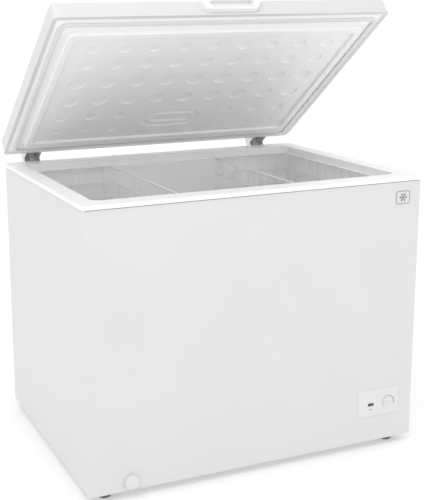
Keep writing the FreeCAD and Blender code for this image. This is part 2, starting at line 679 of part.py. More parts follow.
# ---------------------------------------------------------------- feet


def build_feet():
    """Four levelling feet that turn in nuts on the base pan."""
    stations = {"front_left": (-1, -1), "front_right": (1, -1), "back_left": (-1, 1), "back_right": (1, 1)}
    nuts = []
    for name, (sx, sy) in stations.items():
        x = f"{sx} * dims.foot_offset_x"
        y = f"{sy} * dims.foot_offset_y"
        foot = [(0, 0), (16, 0), (18, 3), (18, 14), (14, 17), (4.95, 18), (4.95, 44), (0, 44)]
        node(f"foot_{name}", revolved(foot, (x, y, 0)))
        nut = cut(rod((x, y, f"{FLOOR} + dims.sheet"), 10, 12), rod((x, y, 10), 5, 60))
        nuts.append(nut)
    node("foot_nuts", *nuts)


# ---------------------------------------------------------------- hinges

HINGE_HALF = 28
PIN_RADIUS = 4


def build_hinge(side, name):
    """A sprung friction hinge: channel on the back, arm on the lid, pin, spring and shoe."""
    x = f"({side} * dims.hinge_offset)"

    def across(half):
        return (f"{x} - {half}", f"{x} + {half}")

    plate = block(across(HINGE_HALF), (BACK, f"{BACK} + 2"), (f"{RIM} - 155", f"{RIM} - 34"))
    ears = []
    for edge in (-HINGE_HALF, HINGE_HALF - 2):
        ear = fuse(
            block((f"{x} + {edge}", f"{x} + {edge} + 2"), (BACK, PIVOT_Y), (f"{PIVOT_Z} - 34", f"{PIVOT_Z} + 14")),
            rod((f"{x} + {edge}", PIVOT_Y, PIVOT_Z), 14, 2, "X"),
        )
        ears.append(ear)
    pin_way = rod((f"{x} - 40", PIVOT_Y, PIVOT_Z), PIN_RADIUS, 80, "X")
    holes = group([rod((sx, f"{BACK} - 3", sz), 2.05, 10, "Y") for sx, sz in hinge_screws(side)])
    node(f"hinge_base_{name}", cut(fuse(plate, *ears), pin_way, holes))
    pin = fuse(rod((f"{x} - 30", PIVOT_Y, PIVOT_Z), PIN_RADIUS, 60, "X"),
               rod((f"{x} - 32", PIVOT_Y, PIVOT_Z), 6, 2, "X"),
               rod((f"{x} + 30", PIVOT_Y, PIVOT_Z), 6, 2, "X"))
    node(f"hinge_pin_{name}", pin)
    drum = cut(rod((f"{x} - 12", PIVOT_Y, PIVOT_Z), 9, 24, "X"),
               rod((f"{x} - 20", PIVOT_Y, PIVOT_Z), PIN_RADIUS, 60, "X"))

    # The arm is drawn shut: up behind the cabinet, then forward over the rim to the lid.
    cheeks = []
    for edge in (-25, 23):
        span = (f"{x} + {edge}", f"{x} + {edge} + 2")
        cheeks.append(fuse(
            block(span, (f"{PIVOT_Y} - 11", f"{PIVOT_Y} + 13"), (PIVOT_Z, f"{RIM} + 40")),
            block(span, (LID_BACK, f"{PIVOT_Y} + 13"), (f"{RIM} + 9", f"{RIM} + 40")),
            rod((f"{x} + {edge}", PIVOT_Y, PIVOT_Z), 13, 2, "X"),
        ))
    web = block(across(25), (f"{PIVOT_Y} + 11", f"{PIVOT_Y} + 13"), (f"{PIVOT_Z} + 12", f"{RIM} + 40"))
    roof = block(across(25), (LID_BACK, f"{PIVOT_Y} + 13"), (f"{RIM} + 38", f"{RIM} + 40"))
    flange = block(across(42), (LID_BACK, f"{LID_BACK} + 2"), (f"{RIM} + 9", f"{RIM} + 40"))
    running = rod((f"{x} - 40", PIVOT_Y, PIVOT_Z), PIN_RADIUS + 0.05, 80, "X")
    lid_screws = [(f"{x} + {dx}", f"{RIM} + {up}") for dx in (-34, 34) for up in (16, 33)]
    holes = group([rod((sx, f"{LID_BACK} - 3", sz), 2.05, 10, "Y") for sx, sz in lid_screws])
    lid_node(f"hinge_arm_{name}", cut(fuse(*cheeks, web, roof, flange), running, holes))

    shoe_low, shoe_high = 6, 20
    shoe = cut(
        block(across(8), (f"{PIVOT_Y} - 8", f"{PIVOT_Y} + 8"), (f"{PIVOT_Z} + {shoe_low}", f"{PIVOT_Z} + {shoe_high}")),
        rod((f"{x} - 20", PIVOT_Y, PIVOT_Z), 9.3, 60, "X"),
    )
    seat = value(f"{PIVOT_Z} + {shoe_high}")
    height = value(f"{RIM} + 38") - seat - 0.5
    wire = 1.1
    turns = 9
    coil = Part.makeHelix((height - 2 * wire) / turns, height - 2 * wire, 7)
    start = Vector(7, 0, 0)
    profile = Part.Wire(Part.Circle(start, Vector(0, 1, 0), wire).toShape())
    spring = shaped(coil.makePipeShell([profile], True, True))
    place(spring, (x, PIVOT_Y, f"{seat + wire + 0.25}"))
    screws = [screw([sx, f"{LID_BACK} + 2", sz], "Y", 1, 4.5, 2, 6) for sx, sz in lid_screws]
    base_screws = [screw([sx, f"{BACK} + 2", sz], "Y", 1, 5, 2, 8) for sx, sz in hinge_screws(side)]
    return {"drum": drum, "shoe": shoe, "spring": spring, "screws": screws, "base_screws": base_screws}


def build_hinges():
    """Both hinges, their like small pieces kept together."""
    pair = [build_hinge(-1, "left"), build_hinge(1, "right")]
    node("hinge_drums", *[one["drum"] for one in pair])
    node("hinge_base_screws", *[s for one in pair for s in one["base_screws"]])
    lid_node("hinge_shoes", *[one["shoe"] for one in pair])
    lid_node("hinge_springs", *[one["spring"] for one in pair])
    lid_node("hinge_arm_screws", *[s for one in pair for s in one["screws"]])


# ---------------------------------------------------------------- lid, drawn shut


def rounded_outline(x, y, z, radius):
    """A flat rounded rectangle as a wire."""
    (x0, x1), (y0, y1) = x, y
    flat = Part.makePlane(x1 - x0, y1 - y0, Vector(x0, y0, z))
    solid = flat.extrude(Vector(0, 0, 1))
    upright = [e for e in solid.Edges if abs(e.tangentAt(0).z) > 0.99]
    rounded_solid = solid.makeFillet(radius, upright)
    bottom = min(rounded_solid.Faces, key=lambda f: f.CenterOfMass.z)
    return bottom.OuterWire


def tapered(base, base_z, face, face_z, radius):
    """A rounded block that narrows evenly from one outline to another."""
    wires = [rounded_outline(*base, base_z, radius), rounded_outline(*face, face_z, radius)]
    return shaped(Part.makeLoft(wires, True, True))


PLUG_SIDE = 447
PLUG_FRONT = -309
PLUG_BACK = 284
PLUG_SLOPE = 2
PANEL_SIDE = 423
PANEL_FRONT = -282
PANEL_BACK = 252
PANEL_RECESS = 7
PANEL_FLOOR = 5
DIMPLE_PITCH = 90
DIMPLE_DEPTH = 3.4
# Distance of each dimple row from the middle of the cabinet, and the dimples' radius there.
DIMPLE_ROWS = [(-230, 17), (-154, 20), (-64, 25), (30, 24), (120, 18), (200, 13)]
OBLONG = {"middle": 155, "half_length": 94, "half_width": 44}


def dimple(x, y, radius, face_z):
    """A ball that cuts a shallow round dimple of the given radius."""
    ball = (radius ** 2 + DIMPLE_DEPTH ** 2) / (2 * DIMPLE_DEPTH)
    sphere = doc.addObject("Part::Sphere", "dimple")
    sphere.Radius = ball
    place(sphere, (x, y, face_z + DIMPLE_DEPTH - ball))
    return sphere


def stadium(half_length, half_width, z):
    """A block with fully round ends."""
    middle = OBLONG["middle"]
    return rounded((-half_length, half_length), (middle - half_width, middle + half_width), z,
                   half_width - 0.01)


def build_lid():
    """Painted outer skin, foam, dimpled inner panel, gasket and grip."""
    skin = "dims.lid_skin"
    top = value(LID_TOP)
    hem = rounded((f"-{LID_SIDE}", LID_SIDE), (LID_FRONT, LID_BACK),
                  (LID_LOW, f"{LID_LOW} + {LID_HEM}"), LID_CORNER)
    outer = rounded((f"-{LID_SIDE} + 1", f"{LID_SIDE} - 1"), (f"{LID_FRONT} + 1", f"{LID_BACK} - 1"),
                    (LID_LOW, LID_TOP), LID_CORNER - 1)
    outer = fuse(hem, soften(outer, LID_TOP_EDGE, None, top - 0.1, top + 0.1))
    room = rounded((f"-{LID_SIDE} + 1 + {skin}", f"{LID_SIDE} - 1 - {skin}"),
                   (f"{LID_FRONT} + 1 + {skin}", f"{LID_BACK} - 1 - {skin}"),
                   (f"{LID_LOW} + {skin}", f"{LID_TOP} - {skin}"), LID_CORNER - 2)
    room = soften(room, LID_TOP_EDGE - 1, None, top - 1.3, top - 1.1)
    lip = 11
    mouth = rounded((f"-{LID_SIDE} + {lip}", f"{LID_SIDE} - {lip}"),
                    (f"{LID_FRONT} + {lip}", f"{LID_BACK} - {lip}"),
                    (f"{LID_LOW} - 1", f"{LID_LOW} + 3"), 8)
    screw_holes = group([rod((f"{s} * dims.hinge_offset + {dx}", f"{LID_BACK} - 4", f"{RIM} + {up}"),
                             2.05, 10, "Y") for s in (-1, 1) for dx in (-34, 34) for up in (16, 33)])
    lid_node("lid_skin", cut(outer, room, mouth, screw_holes))

    seat = f"({LID_LOW} + {skin})"
    flange_top = f"({seat} + 2.5)"
    filling = rounded((f"-{LID_SIDE} + 4", f"{LID_SIDE} - 4"), (f"{LID_FRONT} + 4", f"{LID_BACK} - 8"),
                      (flange_top, f"{LID_TOP} - {skin} - 0.2"), LID_CORNER - 4)
    panel_face = value(f"{seat} - dims.plug_depth") + PANEL_RECESS
    core = block((-PANEL_SIDE + 4, PANEL_SIDE - 4), (PANEL_FRONT + 4, PANEL_BACK - 4),
                 (panel_face + PANEL_FLOOR, flange_top))
    foam = soften(filling, 4, None, value(f"{LID_TOP} - {skin} - 0.3"), top)
    lid_node("lid_foam", fuse(foam, core))

    seat_z = value(seat)
    face_z = seat_z - value("dims.plug_depth")
    wall = 2.5
    plug_x = (-PLUG_SIDE, PLUG_SIDE)
    plug_y = (PLUG_FRONT, PLUG_BACK)

    def inset(span, amount):
        return (span[0] + amount, span[1] - amount)

    plug = tapered((plug_x, plug_y), seat_z, (inset(plug_x, PLUG_SLOPE), inset(plug_y, PLUG_SLOPE)),
                   face_z, LINER_CORNER)
    hollow = tapered((inset(plug_x, wall), inset(plug_y, wall)), seat_z + wall,
                     (inset(plug_x, PLUG_SLOPE + wall), inset(plug_y, PLUG_SLOPE + wall)),
                     face_z + wall, LINER_CORNER)
    flange = rounded((f"-{LID_SIDE} + 6", f"{LID_SIDE} - 6"), (f"{LID_FRONT} + 6", f"{LID_BACK} - 6"),
                     (seat, flange_top), 10)
    tray = rounded(inset((-PANEL_SIDE, PANEL_SIDE), -wall), inset((PANEL_FRONT, PANEL_BACK), -wall),
                   (face_z + 0.5, face_z + PANEL_RECESS + PANEL_FLOOR), 14)
    pit = rounded((-PANEL_SIDE, PANEL_SIDE), (PANEL_FRONT, PANEL_BACK),
                  (face_z - 5, face_z + PANEL_RECESS), 12)
    floor_z = face_z + PANEL_RECESS
    dimples = []
    for row, (y, radius) in enumerate(DIMPLE_ROWS):
        for column in range(-4, 5):
            beside_oblong = row >= 4 and abs(column) <= 1
            if not beside_oblong:
                dimples.append(dimple(column * DIMPLE_PITCH, y, radius, floor_z))
    half_length = OBLONG["half_length"]
    half_width = OBLONG["half_width"]
    groove_z = (floor_z - 1, floor_z + 1.5)
    moat = cut(stadium(half_length, half_width, groove_z),
               stadium(half_length - 16, half_width - 16, (floor_z - 2, floor_z + 3)))
    slot = stadium(half_length - 42, half_width - 34, groove_z)
    body = cut(fuse(cut(fuse(plug, flange), hollow), tray), pit, group(dimples), moat, slot)
    lid_node("lid_liner", body)

    ring = (463, 477)
    outer_ring = rounded((-ring[1], ring[1]), (-343, 319), (f"{RIM} + 0.5", seat), 22)
    inner_ring = rounded((-ring[0], ring[0]), (-329, 305), (f"{RIM} - 1", f"{seat} + 1"), 10)
    lid_node("lid_gasket", cut(outer_ring, inner_ring))

    low, high = f"{RIM} + 13", f"{LID_TOP} + 6"
    grip = padded([(-78, low), (78, low), (88, high), (-88, high)], "XZ_Plane", 18,
                  (0, f"{LID_FRONT} - 8", 0))
    pocket = padded([(-58, f"{low} + 6"), (58, f"{low} + 6"), (65, f"{low} + 27"), (-65, f"{low} + 27")],
                    "XZ_Plane", 14, (0, f"{LID_FRONT} - 11", 0))
    undercut = block((-56, 56), (f"{LID_FRONT} - 12", f"{LID_FRONT} - 4"), (f"{low} + 20", f"{low} + 36"))
    lid_node("lid_handle", cut(soften(grip, 14, Vector(0, 1, 0)), soften(pocket, 8, Vector(0, 1, 0)),
                               undercut))


# ---------------------------------------------------------------- baskets

BASKET_CELL = 44


def grid_panel(x, y, z, thin):
    """A welded wire grid: a thin plate with square windows, in numbers."""
    wire = value("dims.wire")
    spans = {"X": x, "Y": y, "Z": z}
    plate = block(x, y, z)
    across = [axis for axis in "XYZ" if axis != thin]
    counts = {}
    for axis in across:
        low, high = spans[axis]
        counts[axis] = max(1, round((high - low - wire) / BASKET_CELL))
    windows = []
    for i in range(counts[across[0]]):
        for j in range(counts[across[1]]):
            ranges = {thin: (spans[thin][0] - 1, spans[thin][1] + 1)}
            for axis, number in zip(across, (i, j)):
                low, high = spans[axis]
                pitch = (high - low - wire) / counts[axis]
                ranges[axis] = (low + wire + number * pitch, low + (number + 1) * pitch)
            size = [ranges[a][1] - ranges[a][0] for a in "XYZ"]
            windows.append(Part.makeBox(*size, Vector(*[ranges[a][0] for a in "XYZ"])))
    return cut(plate, shaped(Part.makeCompound(windows)))


def build_basket(name, left):
    """Open wire basket that hangs by four hooks on the rim's ledge."""
    wire = value("dims.wire")
    right = left + value("dims.basket_width")
    ledge = value(f"{RIM} - dims.ledge_drop")
    clear = 0.3
    top = ledge + clear + wire
    low = top - value("dims.basket_height")
    front = value(OPEN_FRONT) + value("dims.ledge_width") + 8
    back = value(OPEN_BACK) - value("dims.ledge_width") - 8
    hooks = {}
    for label, edge, reach in (("front", front, -13), ("back", back, 13)):
        spots = []
        for x in (left + 60, right - 60):
            span = sorted((edge, edge + reach))
            spots.append(block((x - 20, x + 20), span, (ledge + clear, top)))
        hooks[label] = spots
    ends = [
        fuse(grid_panel((left, right), (front, front + wire), (low, top), "Y"), *hooks["front"]),
        fuse(grid_panel((left, right), (back - wire, back), (low, top), "Y"), *hooks["back"]),
    ]
    sides = [
        grid_panel((left, left + wire), (front + wire, back - wire), (low, top), "X"),
        grid_panel((right - wire, right), (front + wire, back - wire), (low, top), "X"),
    ]
    bottom = grid_panel((left + wire, right - wire), (front + wire, back - wire), (low, low + wire), "Z")
    node(f"basket_{name}", *ends, *sides, bottom)


def build_baskets():
    """One basket at each end of the opening."""
    edge = value(OPEN_SIDE) - value("dims.ledge_width") - 5
    build_basket("left", -edge)
    build_basket("right", edge - value("dims.basket_width"))


# ---------------------------------------------------------------- build, check and write

for build in (build_wrapper, build_back_panel, build_base_pan, build_coils, build_foam, build_liner,
              build_collar, build_housing, build_compressor, build_tubes, build_grille, build_controls,
              build_drain, build_feet, build_hinges, build_lid, build_baskets):
    build()
doc.recompute()

problems = [f"{obj.Name} could not be computed" for obj in doc.Objects
            if "Invalid" in obj.State or "Error" in obj.State]
problems += [f"{label} has no valid shape" for label, obj in nodes.items()
             if obj.Shape.isNull() or not obj.Shape.isValid() or not obj.Shape.Solids]
if problems:
    raise RuntimeError("; ".join(problems))

os.makedirs("parts", exist_ok=True)
for label, obj in nodes.items():
    obj.Shape.exportStep(f"parts/{label}.step")
    box = obj.Shape.BoundBox
    print(f"{label:22s} solids {len(obj.Shape.Solids):2d}  volume {obj.Shape.Volume / 1000:10.1f} cm3  "
          f"x {box.XMin:7.1f} {box.XMax:7.1f}  y {box.YMin:7.1f} {box.YMax:7.1f}  "
          f"z {box.ZMin:7.1f} {box.ZMax:7.1f}")
print(len(nodes), "sub-parts")
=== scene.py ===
"""Looks of a chest freezer that stands with its lid open. Metres, in the frame of the CAD model."""

import json
import math

import bmesh
import bpy
from mathutils import Matrix, Vector


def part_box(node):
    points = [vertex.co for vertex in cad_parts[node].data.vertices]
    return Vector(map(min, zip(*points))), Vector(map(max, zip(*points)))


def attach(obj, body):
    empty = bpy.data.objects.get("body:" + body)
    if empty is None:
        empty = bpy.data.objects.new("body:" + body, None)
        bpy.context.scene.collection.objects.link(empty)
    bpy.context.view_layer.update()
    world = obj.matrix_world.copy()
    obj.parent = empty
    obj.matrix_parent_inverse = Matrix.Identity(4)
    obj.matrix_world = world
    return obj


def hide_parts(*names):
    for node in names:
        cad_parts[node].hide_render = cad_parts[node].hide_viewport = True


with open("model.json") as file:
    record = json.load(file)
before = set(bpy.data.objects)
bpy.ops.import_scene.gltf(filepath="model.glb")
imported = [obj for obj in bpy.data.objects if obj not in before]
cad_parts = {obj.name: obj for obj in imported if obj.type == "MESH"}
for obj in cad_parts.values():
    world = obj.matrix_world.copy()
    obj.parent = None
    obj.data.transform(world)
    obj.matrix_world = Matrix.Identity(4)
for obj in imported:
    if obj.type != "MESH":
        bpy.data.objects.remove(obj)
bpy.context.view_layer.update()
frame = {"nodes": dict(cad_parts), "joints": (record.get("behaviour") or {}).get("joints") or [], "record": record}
nodes = frame["nodes"]
scene = bpy.context.scene

# ---------------------------------------------------------------- places taken from the frame

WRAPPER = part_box("outer_wrapper")
FRONT_Y = WRAPPER[0].y
BACK_Y = WRAPPER[1].y
HALF_WIDTH = WRAPPER[1].x
HALF_DEPTH = (BACK_Y - FRONT_Y) / 2
MIDDLE_Y = (FRONT_Y + BACK_Y) / 2
RIM_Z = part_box("top_collar")[1].z

HINGE = next(j for j in frame["joints"] if j["name"] == "lid_hinge")
PIVOT = Vector(HINGE["pos_m"])
OPEN_ANGLE = math.radians(-HINGE["range_deg"][0])
SHUT_TO_OPEN = (Matrix.Translation(PIVOT) @ Matrix.Rotation(-OPEN_ANGLE, 4, "X")
                @ Matrix.Translation(-PIVOT))

# ---------------------------------------------------------------- materials


def new_material(name, colour, roughness, metallic=0.0, coat=0.0, specular=0.5):
    """A principled material and its tree, its plain numbers set on the shader itself."""
    material = bpy.data.materials.new(name)
    material.use_nodes = True
    tree = material.node_tree
    shader = tree.nodes["Principled BSDF"]
    shader.inputs["Base Color"].default_value = (*colour, 1)
    shader.inputs["Roughness"].default_value = roughness
    shader.inputs["Metallic"].default_value = metallic
    shader.inputs["Coat Weight"].default_value = coat
    shader.inputs["Specular IOR Level"].default_value = specular
    return material, tree, shader


def place_coordinates(tree, stretch=(1, 1, 1)):
    """Coordinates in metres on the piece, stretched if wanted."""
    source = tree.nodes.new("ShaderNodeTexCoord")
    mapping = tree.nodes.new("ShaderNodeMapping")
    mapping.inputs["Scale"].default_value = stretch
    tree.links.new(source.outputs["Object"], mapping.inputs["Vector"])
    return mapping.outputs["Vector"]


def noise(tree, coordinates, scale, detail=2.0):
    """A noise texture's value."""
    texture = tree.nodes.new("ShaderNodeTexNoise")
    texture.inputs["Scale"].default_value = scale
    texture.inputs["Detail"].default_value = detail
    tree.links.new(coordinates, texture.inputs["Vector"])
    return texture.outputs["Fac"]


def cells(tree, coordinates, scale, output="Distance"):
    """A Voronoi texture's output."""
    texture = tree.nodes.new("ShaderNodeTexVoronoi")
    texture.inputs["Scale"].default_value = scale
    tree.links.new(coordinates, texture.inputs["Vector"])
    return texture.outputs[output]


def spread(tree, value, low, high):
    """Map a 0 to 1 value onto a range."""
    node = tree.nodes.new("ShaderNodeMapRange")
    node.inputs["To Min"].default_value = low
    node.inputs["To Max"].default_value = high
    tree.links.new(value, node.inputs["Value"])
    return node.outputs["Result"]


def tint(tree, value, first, second):
    """Mix two colours by a value."""
    ramp = tree.nodes.new("ShaderNodeValToRGB")
    ramp.color_ramp.elements[0].position = 0.3
    ramp.color_ramp.elements[0].color = (*first, 1)
    ramp.color_ramp.elements[1].position = 0.7
    ramp.color_ramp.elements[1].color = (*second, 1)
    tree.links.new(value, ramp.inputs["Fac"])
    return ramp.outputs["Color"]


def emboss(tree, shader, heights, depths):
    """Bump the surface by one or more heights, each with its depth in metres."""
    normal = None
    for height, depth in zip(heights, depths):
        node = tree.nodes.new("ShaderNodeBump")
        node.inputs["Distance"].default_value = depth
        tree.links.new(height, node.inputs["Height"])
        if normal is not None:
            tree.links.new(normal, node.inputs["Normal"])
        normal = node.outputs["Normal"]
    tree.links.new(normal, shader.inputs["Normal"])


def shade(colour, amount):
    """The same colour, lighter or darker."""
    return tuple(min(1.0, channel * amount) for channel in colour)


def coated_steel(name, colour, roughness=0.34, waviness=1.0):
    """Powder-coated sheet: faint orange peel over a slow unevenness of the sheet."""
    material, tree, shader = new_material(name, colour, roughness, coat=0.15, specular=0.4)
    place = place_coordinates(tree)
    peel = noise(tree, place, 420, 3)
    sway = noise(tree, place, 5, 1)
    tree.links.new(tint(tree, sway, shade(colour, 0.985), colour), shader.inputs["Base Color"])
    tree.links.new(spread(tree, peel, roughness - 0.05, roughness + 0.07), shader.inputs["Roughness"])
    emboss(tree, shader, [peel, sway], [0.00004 * waviness, 0.0012 * waviness])
    return material


def moulded_plastic(name, colour, roughness=0.38, grain=900, depth=0.00003):
    """Injection-moulded plastic with a fine spark grain."""
    material, tree, shader = new_material(name, colour, roughness, specular=0.45)
    place = place_coordinates(tree)
    fine = noise(tree, place, grain, 2)
    slow = noise(tree, place, 14, 2)
    tree.links.new(tint(tree, slow, shade(colour, 0.975), colour), shader.inputs["Base Color"])
    tree.links.new(spread(tree, fine, roughness - 0.06, roughness + 0.08), shader.inputs["Roughness"])
    emboss(tree, shader, [fine], [depth])
    return material


def soft_vinyl(name, colour):
    """Extruded vinyl of the gasket, with a little dust and a fine grain."""
    material, tree, shader = new_material(name, colour, 0.5, specular=0.35)
    place = place_coordinates(tree)
    dust = noise(tree, place, 60, 4)
    fine = noise(tree, place, 1500, 2)
    tree.links.new(tint(tree, dust, shade(colour, 0.96), shade(colour, 1.02)), shader.inputs["Base Color"])
    tree.links.new(spread(tree, dust, 0.42, 0.6), shader.inputs["Roughness"])
    emboss(tree, shader, [fine], [0.00002])
    return material


def zinc_plate(name, colour, roughness=0.36):
    """Galvanised sheet with its spangle."""
    material, tree, shader = new_material(name, colour, roughness, metallic=0.2)
    place = place_coordinates(tree)
    spangle = cells(tree, place, 160, "Color")
    scratches = noise(tree, place_coordinates(tree, (30, 900, 900)), 1.0, 4)
    grey = tree.nodes.new("ShaderNodeRGBToBW")
    tree.links.new(spangle, grey.inputs["Color"])
    tree.links.new(tint(tree, grey.outputs["Val"], shade(colour, 0.93), shade(colour, 1.04)),
                   shader.inputs["Base Color"])
    tree.links.new(spread(tree, grey.outputs["Val"], roughness - 0.08, roughness + 0.12),
                   shader.inputs["Roughness"])
    emboss(tree, shader, [scratches], [0.00002])
    return material


def drawn_tube(name, colour, roughness=0.3):
    """Drawn copper with patches of tarnish."""
    material, tree, shader = new_material(name, colour, roughness, metallic=1.0)
    place = place_coordinates(tree)
    tarnish = noise(tree, place, 45, 4)
    tree.links.new(tint(tree, tarnish, shade(colour, 0.6), colour), shader.inputs["Base Color"])
    tree.links.new(spread(tree, tarnish, 0.5, roughness), shader.inputs["Roughness"])
    emboss(tree, shader, [noise(tree, place, 700, 3)], [0.00003])
    return material


def rigid_foam(name, colour):
    """Cut polyurethane foam with open cells."""
    material, tree, shader = new_material(name, colour, 0.92, specular=0.2)
    place = place_coordinates(tree)
    pores = cells(tree, place, 900)
    blotch = noise(tree, place, 20, 4)
    tree.links.new(tint(tree, blotch, shade(colour, 0.82), colour), shader.inputs["Base Color"])
    emboss(tree, shader, [pores, blotch], [0.0004, 0.001])
    return material


def rubber(name, colour):
    """Matt black rubber with bloom."""
    material, tree, shader = new_material(name, colour, 0.75, specular=0.3)
    place = place_coordinates(tree)
    bloom = noise(tree, place, 90, 5)
    tree.links.new(tint(tree, bloom, colour, shade(colour, 1.7)), shader.inputs["Base Color"])
    tree.links.new(spread(tree, bloom, 0.62, 0.85), shader.inputs["Roughness"])
    emboss(tree, shader, [noise(tree, place, 1300, 2)], [0.00004])
    return material


def clear_green(name, colour):
    """Tinted lamp window that glows a little."""
    material, tree, shader = new_material(name, colour, 0.25, coat=0.3)
    place = place_coordinates(tree)
    ribs = noise(tree, place_coordinates(tree, (900, 60, 60)), 1.0, 1)
    glow = noise(tree, place, 60, 2)
    tree.links.new(tint(tree, glow, shade(colour, 0.7), colour), shader.inputs["Base Color"])
    shader.inputs["Emission Color"].default_value = (0.02, 0.5, 0.2, 1)
    shader.inputs["Emission Strength"].default_value = 0.03
    emboss(tree, shader, [ribs], [0.0001])
    return material


WHITE = (0.70, 0.70, 0.706)
MATERIALS = {
    "white_steel": coated_steel("white_steel", WHITE),
    "back_steel": coated_steel("back_steel", (0.73, 0.73, 0.735), 0.42),
    "inner_steel": coated_steel("inner_steel", (0.90, 0.90, 0.905), 0.4),
    "rim_plastic": moulded_plastic("rim_plastic", (0.90, 0.90, 0.905), 0.34),
    "lid_plastic": moulded_plastic("lid_plastic", (0.95, 0.95, 0.955), 0.36),
    "white_plastic": moulded_plastic("white_plastic", (0.86, 0.86, 0.865), 0.3),
    "panel_grey": moulded_plastic("panel_grey", (0.73, 0.73, 0.74), 0.3),
    "grey_plastic": moulded_plastic("grey_plastic", (0.55, 0.55, 0.57), 0.45),
    "foot_grey": moulded_plastic("foot_grey", (0.13, 0.13, 0.135), 0.55),
    "black_plastic": moulded_plastic("black_plastic", (0.025, 0.025, 0.027), 0.5, 700, 0.00006),
    "black_steel": coated_steel("black_steel", (0.02, 0.02, 0.022), 0.45),
    "zinc_steel": zinc_plate("zinc_steel", (0.72, 0.73, 0.74)),
    "spring_steel": zinc_plate("spring_steel", (0.86, 0.86, 0.865), 0.25),
    "copper": drawn_tube("copper", (0.72, 0.36, 0.20)),
    "foam": rigid_foam("foam", (0.80, 0.70, 0.42)),
    "gasket_grey": soft_vinyl("gasket_grey", (0.78, 0.785, 0.79)),
    "dark_rubber": rubber("dark_rubber", (0.03, 0.03, 0.03)),
    "green_lens": clear_green("green_lens", (0.004, 0.085, 0.04)),
    "print_grey": moulded_plastic("print_grey", (0.20, 0.20, 0.21), 0.5),
    "badge": moulded_plastic("badge", (0.40, 0.405, 0.42), 0.25),
    "basket_wire": moulded_plastic("basket_wire", (0.86, 0.86, 0.865), 0.28, 500, 0.00005),
}


def dress_cad_nodes():
    """Give every CAD node the material of its slot."""
    for part in frame["record"]["subparts"]:
        node = nodes[part["node"]]
        node.data.materials.clear()
        node.data.materials.append(MATERIALS[part["material_slot"]])


dress_cad_nodes()

# ---------------------------------------------------------------- mesh helpers

FRONT_FACE = Matrix(((1, 0, 0, 0), (0, 0, -1, 0), (0, 1, 0, 0), (0, 0, 0, 1)))


def finish_piece(name, vertices, faces, material, body, crease=40):
    """A mesh piece with its material, smooth but for edges sharper than the crease, on its body."""
    mesh = bpy.data.meshes.new(name)
    mesh.from_pydata([tuple(v) for v in vertices], [], faces)
    mesh.materials.append(MATERIALS[material])
    work = bmesh.new()
    work.from_mesh(mesh)
    bmesh.ops.remove_doubles(work, verts=work.verts, dist=0.000004)
    work.to_mesh(mesh)
    work.free()
    mesh.shade_smooth()
    mesh.set_sharp_from_angle(angle=math.radians(crease))
    piece = bpy.data.objects.new(name, mesh)
    scene.collection.objects.link(piece)
    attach(piece, body)
    return piece


def rounded_outline(centres, radius, steps=8):
    """Points counter-clockwise round circles of one radius at the corners of a convex shape."""
    points = []
    count = len(centres)
    for i, centre in enumerate(centres):
        before = Vector(centre) - Vector(centres[i - 1])
        after = Vector(centres[(i + 1) % count]) - Vector(centre)
        first = math.atan2(-before.x, before.y)
        last = math.atan2(-after.x, after.y)
        while last < first:
            last += 2 * math.pi
        for step in range(steps + 1):
            turn = first + (last - first) * step / steps
            points.append((centre[0] + radius * math.cos(turn), centre[1] + radius * math.sin(turn)))
    return points


def box_centres(half_x, half_y, radius, middle=(0, 0)):
    """Corner centres of a rounded rectangle."""
    x, y = half_x - radius, half_y - radius
    return [(middle[0] + sx * x, middle[1] + sy * y) for sx, sy in ((-1, -1), (1, -1), (1, 1), (-1, 1))]


def circle_outline(radius, steps=48, middle=(0, 0)):
    """Points counter-clockwise round a circle."""
    return [(middle[0] + radius * math.cos(2 * math.pi * i / steps),
             middle[1] + radius * math.sin(2 * math.pi * i / steps)) for i in range(steps)]


def loft(rings, matrix, close_start=True, close_end=True):
    """Vertices and faces of stacked outlines, each a list of points and a height."""
    vertices, faces = [], []
    count = len(rings[0][0])
    for outline, height in rings:
        vertices += [matrix @ Vector((u, v, height)) for u, v in outline]
    for level in range(len(rings) - 1):
        base, top = level * count, (level + 1) * count
        for i in range(count):
            j = (i + 1) % count
            faces.append((base + i, base + j, top + j, top + i))
    if close_start:
        faces.append(tuple(reversed(range(count))))
    if close_end:
        last = (len(rings) - 1) * count
        faces.append(tuple(range(last, last + count)))
    return vertices, faces


def joined(*parts):
    """Several vertex and face lists as one."""
    vertices, faces = [], []
    for more_vertices, more_faces in parts:
        shift = len(vertices)
        vertices += more_vertices
        faces += [tuple(shift + i for i in face) for face in more_faces]
    return vertices, faces


def front_place(x, z, y):
    """A matrix for a piece on the cabinet's front: u to the right, v up, height towards the viewer."""
    return Matrix.Translation((x, y, z)) @ FRONT_FACE


def bend_corners(points, radius, steps=5):
    """Round the inner corners of a bent wire."""
    result = [Vector(points[0])]
    for before, corner, after in zip(points, points[1:], points[2:]):
        before, corner, after = Vector(before), Vector(corner), Vector(after)
        into, out = (before - corner).normalized(), (after - corner).normalized()
        reach = radius / math.tan(into.angle(out) / 2)
        first, last = corner + into * reach, corner + out * reach
        for step in range(steps + 1):
            t = step / steps
            result.append(first * (1 - t) ** 2 + corner * 2 * t * (1 - t) + last * t ** 2)
    result.append(Vector(points[-1]))
    return result


